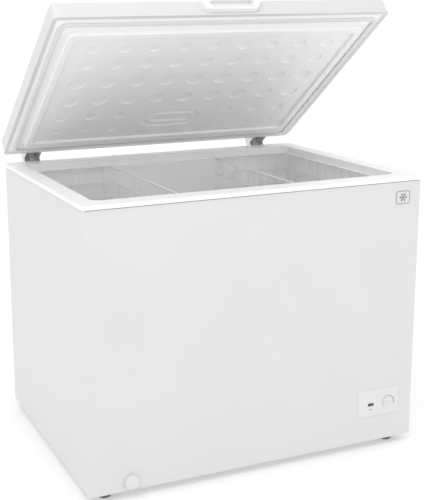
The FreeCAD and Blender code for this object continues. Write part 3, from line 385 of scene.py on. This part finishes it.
def wires(name, runs, material, body):
    """Round wires: each run is its points, its radius and whether it is a closed loop."""
    curve = bpy.data.curves.new(name, "CURVE")
    curve.dimensions = "3D"
    curve.bevel_depth = 1
    curve.bevel_resolution = 2
    curve.use_fill_caps = True
    for points, radius, closed in runs:
        spline = curve.splines.new("POLY")
        spline.points.add(len(points) - 1)
        spline.use_cyclic_u = closed
        for target, point in zip(spline.points, points):
            target.co = (*point, 1)
            target.radius = radius
    holder = bpy.data.objects.new(name + "_path", curve)
    scene.collection.objects.link(holder)
    depsgraph = bpy.context.evaluated_depsgraph_get()
    mesh = bpy.data.meshes.new_from_object(holder.evaluated_get(depsgraph))
    bpy.data.objects.remove(holder)
    vertices = [v.co.copy() for v in mesh.vertices]
    faces = [tuple(p.vertices) for p in mesh.polygons]
    bpy.data.meshes.remove(mesh)
    return finish_piece(name, vertices, faces, material, body, 60)


# ---------------------------------------------------------------- lid

# All places on the lid are given with the lid shut, and depths run down from the gasket's seat.
GASKET_TOP = 0.7922

# Outlines: half width, span in y and corner radius.
FLANGE = (0.492, (-0.3955, 0.293), 0.010)
PLUG = (0.447, (-0.342, 0.251), 0.020)
PANEL = (0.423, (-0.315, 0.219), 0.012)
GASKET = (0.463, (-0.362, 0.272), 0.010)

PLUG_DEPTH = 0.014
PANEL_RECESS = 0.007
FLOOR_DEPTH = PLUG_DEPTH - PANEL_RECESS

# Profiles from the outside in: how far outside the outline, and the depth or the recess there.
FLANGE_PROFILE = ((0, -0.0025), (0, -0.0004), (-0.0004, 0))
PLUG_PROFILE = (
    (0.0150, 0), (0.0062, 0), (0.0052, 0), (0.0046, -0.0003), (0.0042, -0.0014),
    (0.0028, -0.0014), (0.0024, -0.0003), (0.0018, 0), (0.0008, 0.0005), (0.0001, 0.0018),
    (-0.0013, 0.0116), (-0.0018, 0.0130), (-0.0030, 0.0139), (-0.0050, PLUG_DEPTH), (-0.0062, PLUG_DEPTH),
)
PANEL_PROFILE = (
    (0.0064, 0), (0.0050, 0), (0.0034, 0.0003), (0.0020, 0.0010), (0.0009, 0.0020), (0.0003, 0.0034),
    (-0.0004, 0.0058), (-0.0011, 0.0066), (-0.0024, PANEL_RECESS), (-0.0038, PANEL_RECESS),
)
GASKET_PROFILE = (
    (0.0010, 0.0002), (0.0022, 0.0016), (0.0012, 0.0026), (0.0004, 0.0034),
    (0.0006, 0.0050), (0.0016, 0.0056), (0.0124, 0.0056), (0.0134, 0.0050),
    (0.0136, 0.0034), (0.0128, 0.0026), (0.0118, 0.0016), (0.0130, 0.0002),
)

# The dimples stand in rows: the middle of each row and its dimples' radius, then the edges between rows.
PITCH = 0.090
COLUMNS = range(-4, 5)
DIMPLE_ROWS = (
    (-0.263, 0.017), (-0.187, 0.020), (-0.097, 0.025), (-0.003, 0.024), (0.087, 0.018), (0.167, 0.013),
)
ROW_EDGES = (-0.301, -0.225, -0.142, -0.050, 0.042, 0.127, 0.205)
FIELD_SIDE = 4.5 * PITCH
CELL_STEPS = 12

# The oblong takes the place of the three middle dimples of the last two rows.
OBLONG_FIRST_ROW = 4
OBLONG_HALF_COLUMNS = 1
OBLONG_SIDE = 1.5 * PITCH
OBLONG_MIDDLE = (0.0, 0.122)
OBLONG_STRAIGHT = 0.050
OBLONG_PROFILE = (
    (0.0475, 0), (0.0455, 0.0001), (0.0440, 0.0006), (0.0405, 0.0036), (0.0390, 0.0041),
    (0.0330, 0.0041), (0.0315, 0.0036), (0.0280, 0.0008), (0.0262, 0.0003), (0.0180, 0.0003),
    (0.0164, 0.0008), (0.0132, 0.0032), (0.0118, 0.0037), (0.0060, 0.0037),
)


def lid_point(x, y, depth):
    """A point of the lid: its place with the lid shut, its depth below the gasket's seat, then opened."""
    return SHUT_TO_OPEN @ Vector((x, y, GASKET_TOP - depth))


def rectangle_path(x0, x1, y0, y1, steps_x, steps_y):
    """Points counter-clockwise round a rectangle, evenly spaced along each side."""
    points = [(x0 + (x1 - x0) * i / steps_x, y0) for i in range(steps_x)]
    points += [(x1, y0 + (y1 - y0) * i / steps_y) for i in range(steps_y)]
    points += [(x1 - (x1 - x0) * i / steps_x, y1) for i in range(steps_x)]
    points += [(x0, y1 - (y1 - y0) * i / steps_y) for i in range(steps_y)]
    return points


def frame_path(half_x, y_span, corner, steps_x, steps_y, arc_steps=5):
    """Points round a rounded rectangle, as many as its path has, half a corner at each end of a side."""
    points = []
    middle = sum(y_span) / 2
    half_y = (y_span[1] - y_span[0]) / 2
    for side, steps in enumerate((steps_x, steps_y, steps_x, steps_y)):
        across, along = (half_y, half_x) if side % 2 == 0 else (half_x, half_y)
        for i in range(steps):
            if i < arc_steps:
                turn = math.radians(45 - 45 * i / arc_steps)
                u = -along + corner - corner * math.sin(turn)
                v = across - corner + corner * math.cos(turn)
            elif i > steps - arc_steps:
                turn = math.radians(45 * (i - steps + arc_steps) / arc_steps)
                u = along - corner + corner * math.sin(turn)
                v = across - corner + corner * math.cos(turn)
            else:
                share = (i - arc_steps) / (steps - 2 * arc_steps)
                u, v = (2 * share - 1) * (along - corner), across
            x, y = {0: (u, -v), 1: (v, u), 2: (-u, v), 3: (-v, -u)}[side]
            points.append((x, y + middle))
    return points


def circle_from(path, middle, radius):
    """The point of a circle that faces each point of a path."""
    result = []
    for x, y in path:
        away = Vector((x - middle[0], y - middle[1])).normalized()
        result.append((middle[0] + away.x * radius, middle[1] + away.y * radius))
    return result


def oblong_from(path, middle, straight, radius):
    """The point of an oblong outline that faces each point of a path."""
    result = []
    for x, y in path:
        anchor = max(-straight, min(straight, (x - middle[0]) * straight / PITCH))
        away = Vector((x - middle[0] - anchor, y - middle[1])).normalized()
        result.append((middle[0] + anchor + away.x * radius, middle[1] + away.y * radius))
    return result


def blend_paths(first, second, share):
    """Points between two paths."""
    return [(a[0] + (b[0] - a[0]) * share, a[1] + (b[1] - a[1]) * share) for a, b in zip(first, second)]


def add_rings(vertices, faces, rings):
    """Rings of equal point counts from the outside in, each with its depth, closed by a face."""
    start = len(vertices)
    count = len(rings[0][0])
    for path, depth in rings:
        vertices += [lid_point(x, y, depth) for x, y in path]
    for level in range(len(rings) - 1):
        for i in range(count):
            j = (i + 1) % count
            outer, inner = start + level * count, start + (level + 1) * count
            faces.append((outer + j, outer + i, inner + i, inner + j))
    return list(range(len(vertices) - count, len(vertices)))


def dimple_rings(path, middle, radius):
    """A shallow bowl with a steep rim, inside a rectangle of flat panel."""
    rim_depth = 0.0016
    bowl_depth = radius * 0.09
    rings = [(path, FLOOR_DEPTH)]
    for share in (0.35, 0.7):
        rings.append((blend_paths(path, circle_from(path, middle, radius + 0.0026), share), FLOOR_DEPTH))
    rings.append((circle_from(path, middle, radius + 0.0018), FLOOR_DEPTH))
    rings.append((circle_from(path, middle, radius + 0.0008), FLOOR_DEPTH))
    rings.append((circle_from(path, middle, radius), FLOOR_DEPTH - 0.0002))
    rings.append((circle_from(path, middle, radius - 0.0012), FLOOR_DEPTH - 0.0017))
    for share in (0.90, 0.80, 0.65, 0.5, 0.35, 0.2, 0.1):
        depth = FLOOR_DEPTH - rim_depth - bowl_depth * (1 - share ** 2)
        rings.append((circle_from(path, middle, radius * share), depth))
    return rings


def oblong_rings(path):
    """A sunk oblong channel round a raised island that has a slot of its own."""
    rings = [(path, FLOOR_DEPTH)]
    first = oblong_from(path, OBLONG_MIDDLE, OBLONG_STRAIGHT, OBLONG_PROFILE[0][0])
    for share in (0.4, 0.75):
        rings.append((blend_paths(path, first, share), FLOOR_DEPTH))
    for radius, sunk in OBLONG_PROFILE:
        rings.append((oblong_from(path, OBLONG_MIDDLE, OBLONG_STRAIGHT, radius), FLOOR_DEPTH - sunk))
    return rings


def field_path():
    """Points round the dimpled field, one for each step of the cells beside its edge."""
    near, far = ROW_EDGES[0], ROW_EDGES[-1]
    across = [PITCH * i / CELL_STEPS for i in range(len(COLUMNS) * CELL_STEPS)]
    rows = list(zip(ROW_EDGES, ROW_EDGES[1:]))
    points = [(-FIELD_SIDE + x, near) for x in across]
    for low, high in rows:
        points += [(FIELD_SIDE, low + (high - low) * i / CELL_STEPS) for i in range(CELL_STEPS)]
    points += [(FIELD_SIDE - x, far) for x in across]
    for low, high in reversed(rows):
        points += [(-FIELD_SIDE, high - (high - low) * i / CELL_STEPS) for i in range(CELL_STEPS)]
    return points


def outset_path(outline, out, steps_x, steps_y):
    """Points round an outline moved outwards, or inwards where the distance is negative."""
    half_x, span, corner = outline
    moved = (span[0] - out, span[1] + out)
    return frame_path(half_x + out, moved, max(0.001, corner + out), steps_x, steps_y)


def make_lid_panel():
    """Vacuum-formed inner panel of the lid: flange, sloping plug, sunk field with dimples and an oblong."""
    vertices, faces = [], []
    for row, (middle_y, radius) in enumerate(DIMPLE_ROWS):
        for column in COLUMNS:
            if row >= OBLONG_FIRST_ROW and abs(column) <= OBLONG_HALF_COLUMNS:
                continue
            x = column * PITCH
            path = rectangle_path(x - PITCH / 2, x + PITCH / 2, ROW_EDGES[row], ROW_EDGES[row + 1],
                                  CELL_STEPS, CELL_STEPS)
            last = add_rings(vertices, faces, dimple_rings(path, (x, middle_y), radius))
            faces.append(tuple(reversed(last)))
    path = rectangle_path(-OBLONG_SIDE, OBLONG_SIDE, ROW_EDGES[OBLONG_FIRST_ROW], ROW_EDGES[-1],
                          3 * CELL_STEPS, 2 * CELL_STEPS)
    last = add_rings(vertices, faces, oblong_rings(path))
    faces.append(tuple(reversed(last)))

    steps = (len(COLUMNS) * CELL_STEPS, len(DIMPLE_ROWS) * CELL_STEPS)
    rings = [(outset_path(FLANGE, out, *steps), depth) for out, depth in FLANGE_PROFILE]
    rings += [(outset_path(PLUG, out, *steps), depth) for out, depth in PLUG_PROFILE]
    rings += [(outset_path(PANEL, out, *steps), PLUG_DEPTH - sunk) for out, sunk in PANEL_PROFILE]
    rings.append((field_path(), FLOOR_DEPTH))
    add_rings(vertices, faces, rings)
    panel = finish_piece("lid_inner_panel", vertices, faces, "lid_plastic", "lid", 60)
    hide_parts("lid_liner")


def make_gasket():
    """Magnetic door gasket: a flat magnet pocket under a folded bellows."""
    rings = [(outset_path(GASKET, out, 60, 44), depth) for out, depth in GASKET_PROFILE]
    rings.append(rings[0])
    vertices, faces = [], []
    add_rings(vertices, faces, rings)
    seal = finish_piece("lid_seal", vertices, faces, "gasket_grey", "lid", 50)
    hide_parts("lid_gasket")


def make_handle():
    """Moulded pull grip on the lid's front edge, open towards the front, with a deeper pocket inside."""
    back_y = -0.4005  # against the lid's front edge, with the lid shut
    low, high = RIM_Z + 0.013, 0.843

    def trapezoid(half_low, half_high, bottom, top, radius):
        return [(-half_low + radius, bottom + radius), (half_low - radius, bottom + radius),
                (half_high - radius, top - radius), (-half_high + radius, top - radius)]

    outer = trapezoid(0.079, 0.088, low, high, 0.014)
    mouth = trapezoid(0.060, 0.067, low + 0.0045, high - 0.0165, 0.008)
    pocket = trapezoid(0.055, 0.061, low + 0.0075, high - 0.0125, 0.006)
    rings = [(rounded_outline(outer, 0.0140), 0.0), (rounded_outline(outer, 0.0140), 0.0125),
             (rounded_outline(outer, 0.0134), 0.0148), (rounded_outline(outer, 0.0120), 0.0164),
             (rounded_outline(outer, 0.0100), 0.0170), (rounded_outline(mouth, 0.0092), 0.0170),
             (rounded_outline(mouth, 0.0080), 0.0164), (rounded_outline(mouth, 0.0072), 0.0148),
             (rounded_outline(pocket, 0.0060), 0.0050), (rounded_outline(pocket, 0.0045), 0.0036),
             (rounded_outline(pocket, 0.0020), 0.0032)]
    matrix = SHUT_TO_OPEN @ Matrix.Translation((0, back_y, 0)) @ FRONT_FACE
    vertices, faces = loft(rings, matrix)
    grip = finish_piece("lid_grip", vertices, faces, "white_plastic", "lid", 50)
    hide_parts("lid_handle")


make_lid_panel()
make_gasket()
make_handle()

# ---------------------------------------------------------------- baskets


def make_basket(side):
    """Basket of round coated wire: thick rim, hoops both ways, level wires and hooks over the ledge."""
    name = f"basket_{side}"
    low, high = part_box(name)
    hook = 0.013
    x0, x1 = low.x + 0.002, high.x - 0.002
    y0, y1 = low.y + hook + 0.002, high.y - hook - 0.002
    z0, z1 = low.z + 0.0018, high.z - 0.0020
    runs = []

    def level_loop(inset, z, corner, radius):
        outline = rounded_outline(box_centres((x1 - x0) / 2 - inset, (y1 - y0) / 2 - inset, corner,
                                              ((x0 + x1) / 2, (y0 + y1) / 2)), corner)
        runs.append(([(x, y, z) for x, y in outline], radius, True))

    level_loop(0, z1, 0.012, 0.0020)
    levels = 5
    for i in range(1, levels):
        level_loop(0.0016, z1 + (z0 - z1) * i / levels, 0.012, 0.0013)
    hoops = 13
    for i in range(hoops):
        y = y0 + 0.024 + (y1 - y0 - 0.048) * i / (hoops - 1)
        points = [(x0, y, z1), (x0, y, z0), (x1, y, z0), (x1, y, z1)]
        runs.append((bend_corners(points, 0.012), 0.0013, False))
    lengths = 5
    for i in range(lengths):
        x = x0 + 0.024 + (x1 - x0 - 0.048) * i / (lengths - 1)
        points = [(x, y0, z1), (x, y0, z0 + 0.0026), (x, y1, z0 + 0.0026), (x, y1, z1)]
        runs.append((bend_corners(points, 0.012), 0.0013, False))
    for x in (x0 + 0.058, x1 - 0.058):
        for y, out in ((y0, -1), (y1, 1)):
            tip = y + out * 0.0112
            over = z1 + 0.0004
            left, right = x - 0.019, x + 0.019
            points = [(left, y, over), (left, tip, over), (right, tip, over), (right, y, over)]
            runs.append((bend_corners(points, 0.005), 0.0016, False))
    wire = wires(f"wire_{name}", runs, "basket_wire", name)
    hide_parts(name)


make_basket("left")
make_basket("right")

# ---------------------------------------------------------------- control panel, badge, drain and painted shadow strip under the rim


def make_bezel():
    """Control panel plate with a wide sloping border."""
    low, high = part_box("control_bezel")
    half = ((high.x - low.x) / 2, (high.z - low.z) / 2)
    matrix = front_place((low.x + high.x) / 2, (low.z + high.z) / 2, high.y)

    def outline(inset):
        corner = max(0.0012, 0.0035 - inset / 2)
        return rounded_outline(box_centres(half[0] - inset, half[1] - inset, corner), corner)

    rings = [(outline(0), 0.0), (outline(0), 0.0008), (outline(0.0004), 0.0013), (outline(0.0046), 0.0036),
             (outline(0.0056), 0.0039), (outline(0.0072), 0.0040)]
    vertices, faces = loft(rings, matrix)
    plate = finish_piece("control_plate", vertices, faces, "panel_grey", "cabinet", 50)
    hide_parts("control_bezel")
    return low.y


PRINT_HEIGHT = 0.0002


def printed(name, outline_pairs, matrix):
    """A thin raised print between an inner and an outer line of points."""
    vertices, faces = [], []
    count = len(outline_pairs)
    for level in (0, PRINT_HEIGHT):
        for inner, outer in outline_pairs:
            vertices += [matrix @ Vector((*inner, level)), matrix @ Vector((*outer, level))]
    for i in range(count - 1):
        a, b, c, d = 2 * i, 2 * i + 1, 2 * i + 3, 2 * i + 2
        top = 2 * count
        faces += [(a, b, c, d), (top + a, top + d, top + c, top + b), (a, d, top + d, top + a),
                  (b, top + b, top + c, c)]
    last = 2 * (count - 1)
    faces += [(0, 2 * count, 2 * count + 1, 1), (last, last + 1, 2 * count + last + 1, 2 * count + last)]
    return finish_piece(name, vertices, faces, "print_grey", "cabinet")


def make_control_prints(front_y):
    """Arc round the dial that thickens towards the cold end, ticks, and a mark below the lamp."""
    low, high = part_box("thermostat_dial")
    centre = ((low.x + high.x) / 2, (low.z + high.z) / 2)
    matrix = front_place(centre[0], centre[1], front_y)
    steps = 60
    pairs = []
    for i in range(steps + 1):
        share = i / steps
        turn = math.radians(232 - 248 * share)
        width = 0.0005 + 0.0020 * share ** 1.5
        inner, outer = 0.0183, 0.0183 + width
        pairs.append(((inner * math.cos(turn), inner * math.sin(turn)),
                      (outer * math.cos(turn), outer * math.sin(turn))))
    printed("dial_arc", pairs, matrix)
    for i in range(7):
        turn = math.radians(232 - 248 * i / 6)
        side = Vector((-math.sin(turn), math.cos(turn))) * 0.0003
        inner = Vector((math.cos(turn), math.sin(turn))) * 0.0222
        outer = Vector((math.cos(turn), math.sin(turn))) * (0.0238 + 0.0004 * (i % 2 == 0))
        printed(f"dial_tick_{i}", [(inner - side, outer - side), (inner + side, outer + side)], matrix)
    lens_low, lens_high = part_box("indicator_lens")
    middle = (lens_low.x + lens_high.x) / 2
    mark = front_place(middle, lens_low.z - 0.0085, front_y)
    ends = [((x, -0.0007), (x, 0.0007)) for x in (-0.0065, 0.0065)]
    printed("lamp_mark", ends, mark)


def make_dial(front_y):
    """Thermostat dial: a disc with a rounded edge, a low grip bar across it and a pointer line."""
    low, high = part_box("thermostat_dial")
    radius = (high.x - low.x) / 2
    matrix = front_place((low.x + high.x) / 2, (low.z + high.z) / 2, front_y)
    depth = front_y - low.y
    face = depth - 0.0016
    profile = ((0, 0.0004), (0, face - 0.0026), (0.0004, face - 0.0012), (0.0012, face - 0.0003),
               (0.0024, face), (0.0060, face))
    rings = [(circle_outline(radius - inset), height) for inset, height in profile]
    disc = finish_piece("dial_disc", *loft(rings, matrix), "panel_grey", "thermostat_dial", 50)
    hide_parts("thermostat_dial")
    bar = box_centres(0.0108, 0.0019, 0.0015)
    raised = [(rounded_outline(bar, 0.0019), face - 0.0004), (rounded_outline(bar, 0.0015), depth - 0.0003),
              (rounded_outline(bar, 0.0009), depth)]
    finish_piece("dial_bar", *loft(raised, matrix), "panel_grey", "thermostat_dial")
    line = [(-0.0100, -0.0003), (-0.0050, -0.0003), (-0.0050, 0.0003), (-0.0100, 0.0003)]
    finish_piece("dial_pointer", *loft([(line, depth - 0.0002), (line, depth)], matrix), "print_grey",
                 "thermostat_dial")


def make_lens(front_y):
    """Green lamp window with a pale raised surround."""
    low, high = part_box("indicator_lens")
    centre = ((low.x + high.x) / 2, (low.z + high.z) / 2)
    half = ((high.x - low.x) / 2, (high.z - low.z) / 2)
    matrix = front_place(centre[0], centre[1], front_y)

    def outline(grow, corner):
        return rounded_outline(box_centres(half[0] + grow, half[1] - 0.0018 + grow, corner), corner)

    window = [(outline(-0.0006, 0.0030), -0.003), (outline(-0.0006, 0.0030), 0.0004),
              (outline(-0.0011, 0.0027), 0.0009), (outline(-0.0022, 0.0018), 0.0012)]
    lens = finish_piece("lamp_window", *loft(window, matrix), "green_lens", "cabinet")
    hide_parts("indicator_lens")
    surround = [(outline(0.0028, 0.0050), 0.0), (outline(0.0026, 0.0049), 0.0005),
                (outline(0.0018, 0.0045), 0.0009), (outline(0.0002, 0.0035), 0.0008),
                (outline(-0.0004, 0.0032), 0.0001)]
    finish_piece("lamp_surround", *loft(surround, matrix, False, False), "panel_grey", "cabinet")


def make_badge():
    """Plain badge: a rounded frame round a snowflake."""
    low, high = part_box("badge_plate")
    matrix = front_place((low.x + high.x) / 2, (low.z + high.z) / 2, high.y)
    half = ((high.x - low.x) / 2, (high.z - low.z) / 2)

    def outline(inset):
        corner = max(0.001, 0.0075 - inset)
        return rounded_outline(box_centres(half[0] - inset, half[1] - inset, corner), corner)

    rim = [(outline(0), 0.0), (outline(0), 0.0011), (outline(0.0005), 0.0016), (outline(0.0018), 0.0017),
           (outline(0.0024), 0.0014), (outline(0.0027), 0.0006)]
    frame_piece = finish_piece("badge_rim", *loft(rim, matrix, True, False), "badge", "cabinet")
    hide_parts("badge_plate")
    field = [(outline(0.0026), 0.0), (outline(0.0026), 0.0007)]
    finish_piece("badge_field", *loft(field, matrix), "white_steel", "cabinet")
    bars = []
    for arm in range(6):
        turn = Matrix.Rotation(math.radians(60 * arm), 4, "Z")
        spans = [((0.0004, 0), (0.0125, 0), 0.00055)]
        for along in (0.0052, 0.0086):
            for lean in (-1, 1):
                tip = (along + 0.0026, lean * 0.0026)
                spans.append(((along, 0), tip, 0.00042))
        for start, end, half_width in spans:
            direction = (Vector(end) - Vector(start)).normalized()
            side = Vector((-direction.y, direction.x)) * half_width
            points = [Vector(start) - side, Vector(end) - side, Vector(end) + side, Vector(start) + side]
            corners = [(point.x, point.y) for point in points]
            bars.append(loft([(corners, 0.0006), (corners, 0.0013)], matrix @ turn))
    finish_piece("badge_flake", *joined(*bars), "print_grey", "cabinet")


def make_drain_cap():
    """Screw cap of the drain: a wide rounded shoulder, flat face and a shallow finger bar."""
    low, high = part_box("drain_cap")
    matrix = front_place((low.x + high.x) / 2, (low.z + high.z) / 2, high.y)
    depth = high.y - low.y
    radius = (high.x - low.x) / 2
    profile = ((0, 0.0), (0, 0.0040), (0.0006, 0.0066), (0.0020, 0.0090), (0.0042, 0.0108),
               (0.0060, 0.0115), (0.0090, 0.0119), (0.0140, 0.0121))
    rings = [(circle_outline(radius - inset), height) for inset, height in profile]
    cap = finish_piece("drain_knob", *loft(rings, matrix), "panel_grey", "drain_cap", 50)
    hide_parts("drain_cap")
    bar = box_centres(0.0120, 0.0022, 0.0018)
    raised = [(rounded_outline(bar, 0.0022), 0.0112), (rounded_outline(bar, 0.0018), depth - 0.0004),
              (rounded_outline(bar, 0.0010), depth)]
    finish_piece("drain_knob_bar", *loft(raised, matrix), "panel_grey", "drain_cap")


LIP_HEIGHT = 0.011
SHADOW_STRIP_HEIGHT = 0.0018
CABINET_CORNER = 0.008


def make_rim_shadow_strip():
    """Painted shade: a dark grey strip in the gap between the steel and the rim moulding's lip, standing in for
    the gap's shadow.
    """
    top = RIM_Z - LIP_HEIGHT - 0.0001
    bottom = top - SHADOW_STRIP_HEIGHT
    proud, sunk = 0.0003, -0.0012
    rings = []
    for grow, height in ((proud, bottom), (proud, top), (sunk, top), (sunk, bottom), (proud, bottom)):
        corner = CABINET_CORNER + grow
        centres = box_centres(HALF_WIDTH + grow, HALF_DEPTH + grow, corner, (0, MIDDLE_Y))
        rings.append((rounded_outline(centres, corner), height))
    # The near-black foot grey here is painted shade, darkening the thin shadow line under the rim's lip.
    finish_piece("rim_shadow_strip", *loft(rings, Matrix(), False, False), "foot_grey", "cabinet")


PANEL_FRONT_Y = make_bezel()
# A dark strip of painted shade under the rim's lip.
make_rim_shadow_strip()
make_control_prints(PANEL_FRONT_Y)
make_dial(PANEL_FRONT_Y)
make_lens(PANEL_FRONT_Y)
make_badge()
make_drain_cap()

# ---------------------------------------------------------------- floor, light and camera


def make_floor():
    """A wide pale floor that the background light fades into."""
    mesh = bpy.data.meshes.new("floor")
    reach = 14
    mesh.from_pydata([(-reach, -reach, 0), (reach, -reach, 0), (reach, reach, 0), (-reach, reach, 0)],
                     [], [(0, 1, 2, 3)])
    floor = bpy.data.objects.new("floor", mesh)
    scene.collection.objects.link(floor)
    material, tree, shader = new_material("floor", (0.80, 0.80, 0.80), 0.9, specular=0.1)
    shader.inputs["Emission Color"].default_value = (1, 1, 1, 1)
    shader.inputs["Emission Strength"].default_value = 0.23
    mesh.materials.append(material)


def add_area_light(name, place, target, size, power):
    """A square soft light at a place that looks at a target."""
    data = bpy.data.lights.new(name, "AREA")
    data.shape = "SQUARE"
    data.size = size
    data.energy = power
    light = bpy.data.objects.new(name, data)
    light.location = place
    light.rotation_mode = "QUATERNION"
    light.rotation_quaternion = (Vector(target) - Vector(place)).to_track_quat("-Z", "Y")
    scene.collection.objects.link(light)


def make_lights():
    """A bright even room, a key light from the upper front left and a weak fill from the low right."""
    scene.view_settings.view_transform = "Standard"
    world = bpy.data.worlds.new("studio")
    scene.world = world
    world.use_nodes = True
    world.node_tree.nodes["Background"].inputs["Color"].default_value = (1, 1, 1, 1)
    world.node_tree.nodes["Background"].inputs["Strength"].default_value = 1.0
    add_area_light("key", (-1.2, -1.5, 2.9), (0, -0.1, 0.9), 1.6, 16)
    add_area_light("fill", (1.6, -3.4, 0.5), (0.1, 0, 1.0), 1.6, 5)


def make_camera():
    """The camera, from a solution for the cabinet's corners."""
    data = bpy.data.cameras.new("camera")
    camera = bpy.data.objects.new("camera", data)
    place = Vector((-1.2396, -2.6257, 1.2667))
    yaw, pitch, roll = 0.3918, 0.2115, 0.0110
    forward = Vector((math.sin(yaw) * math.cos(pitch), math.cos(yaw) * math.cos(pitch), -math.sin(pitch)))
    right = Vector((math.cos(yaw), -math.sin(yaw), 0))
    down = forward.cross(right)
    turned_right = math.cos(roll) * right + math.sin(roll) * down
    turned_down = -math.sin(roll) * right + math.cos(roll) * down
    axes = Matrix((turned_right, -turned_down, -forward)).transposed()
    camera.matrix_world = Matrix.Translation(place) @ axes.to_4x4()
    data.sensor_width = 36
    data.lens = 71.77
    data.shift_x = 0.127
    data.shift_y = -0.07
    data.clip_start = 0.05
    data.clip_end = 60
    scene.collection.objects.link(camera)
    scene.camera = camera


make_floor()
make_lights()
make_camera()
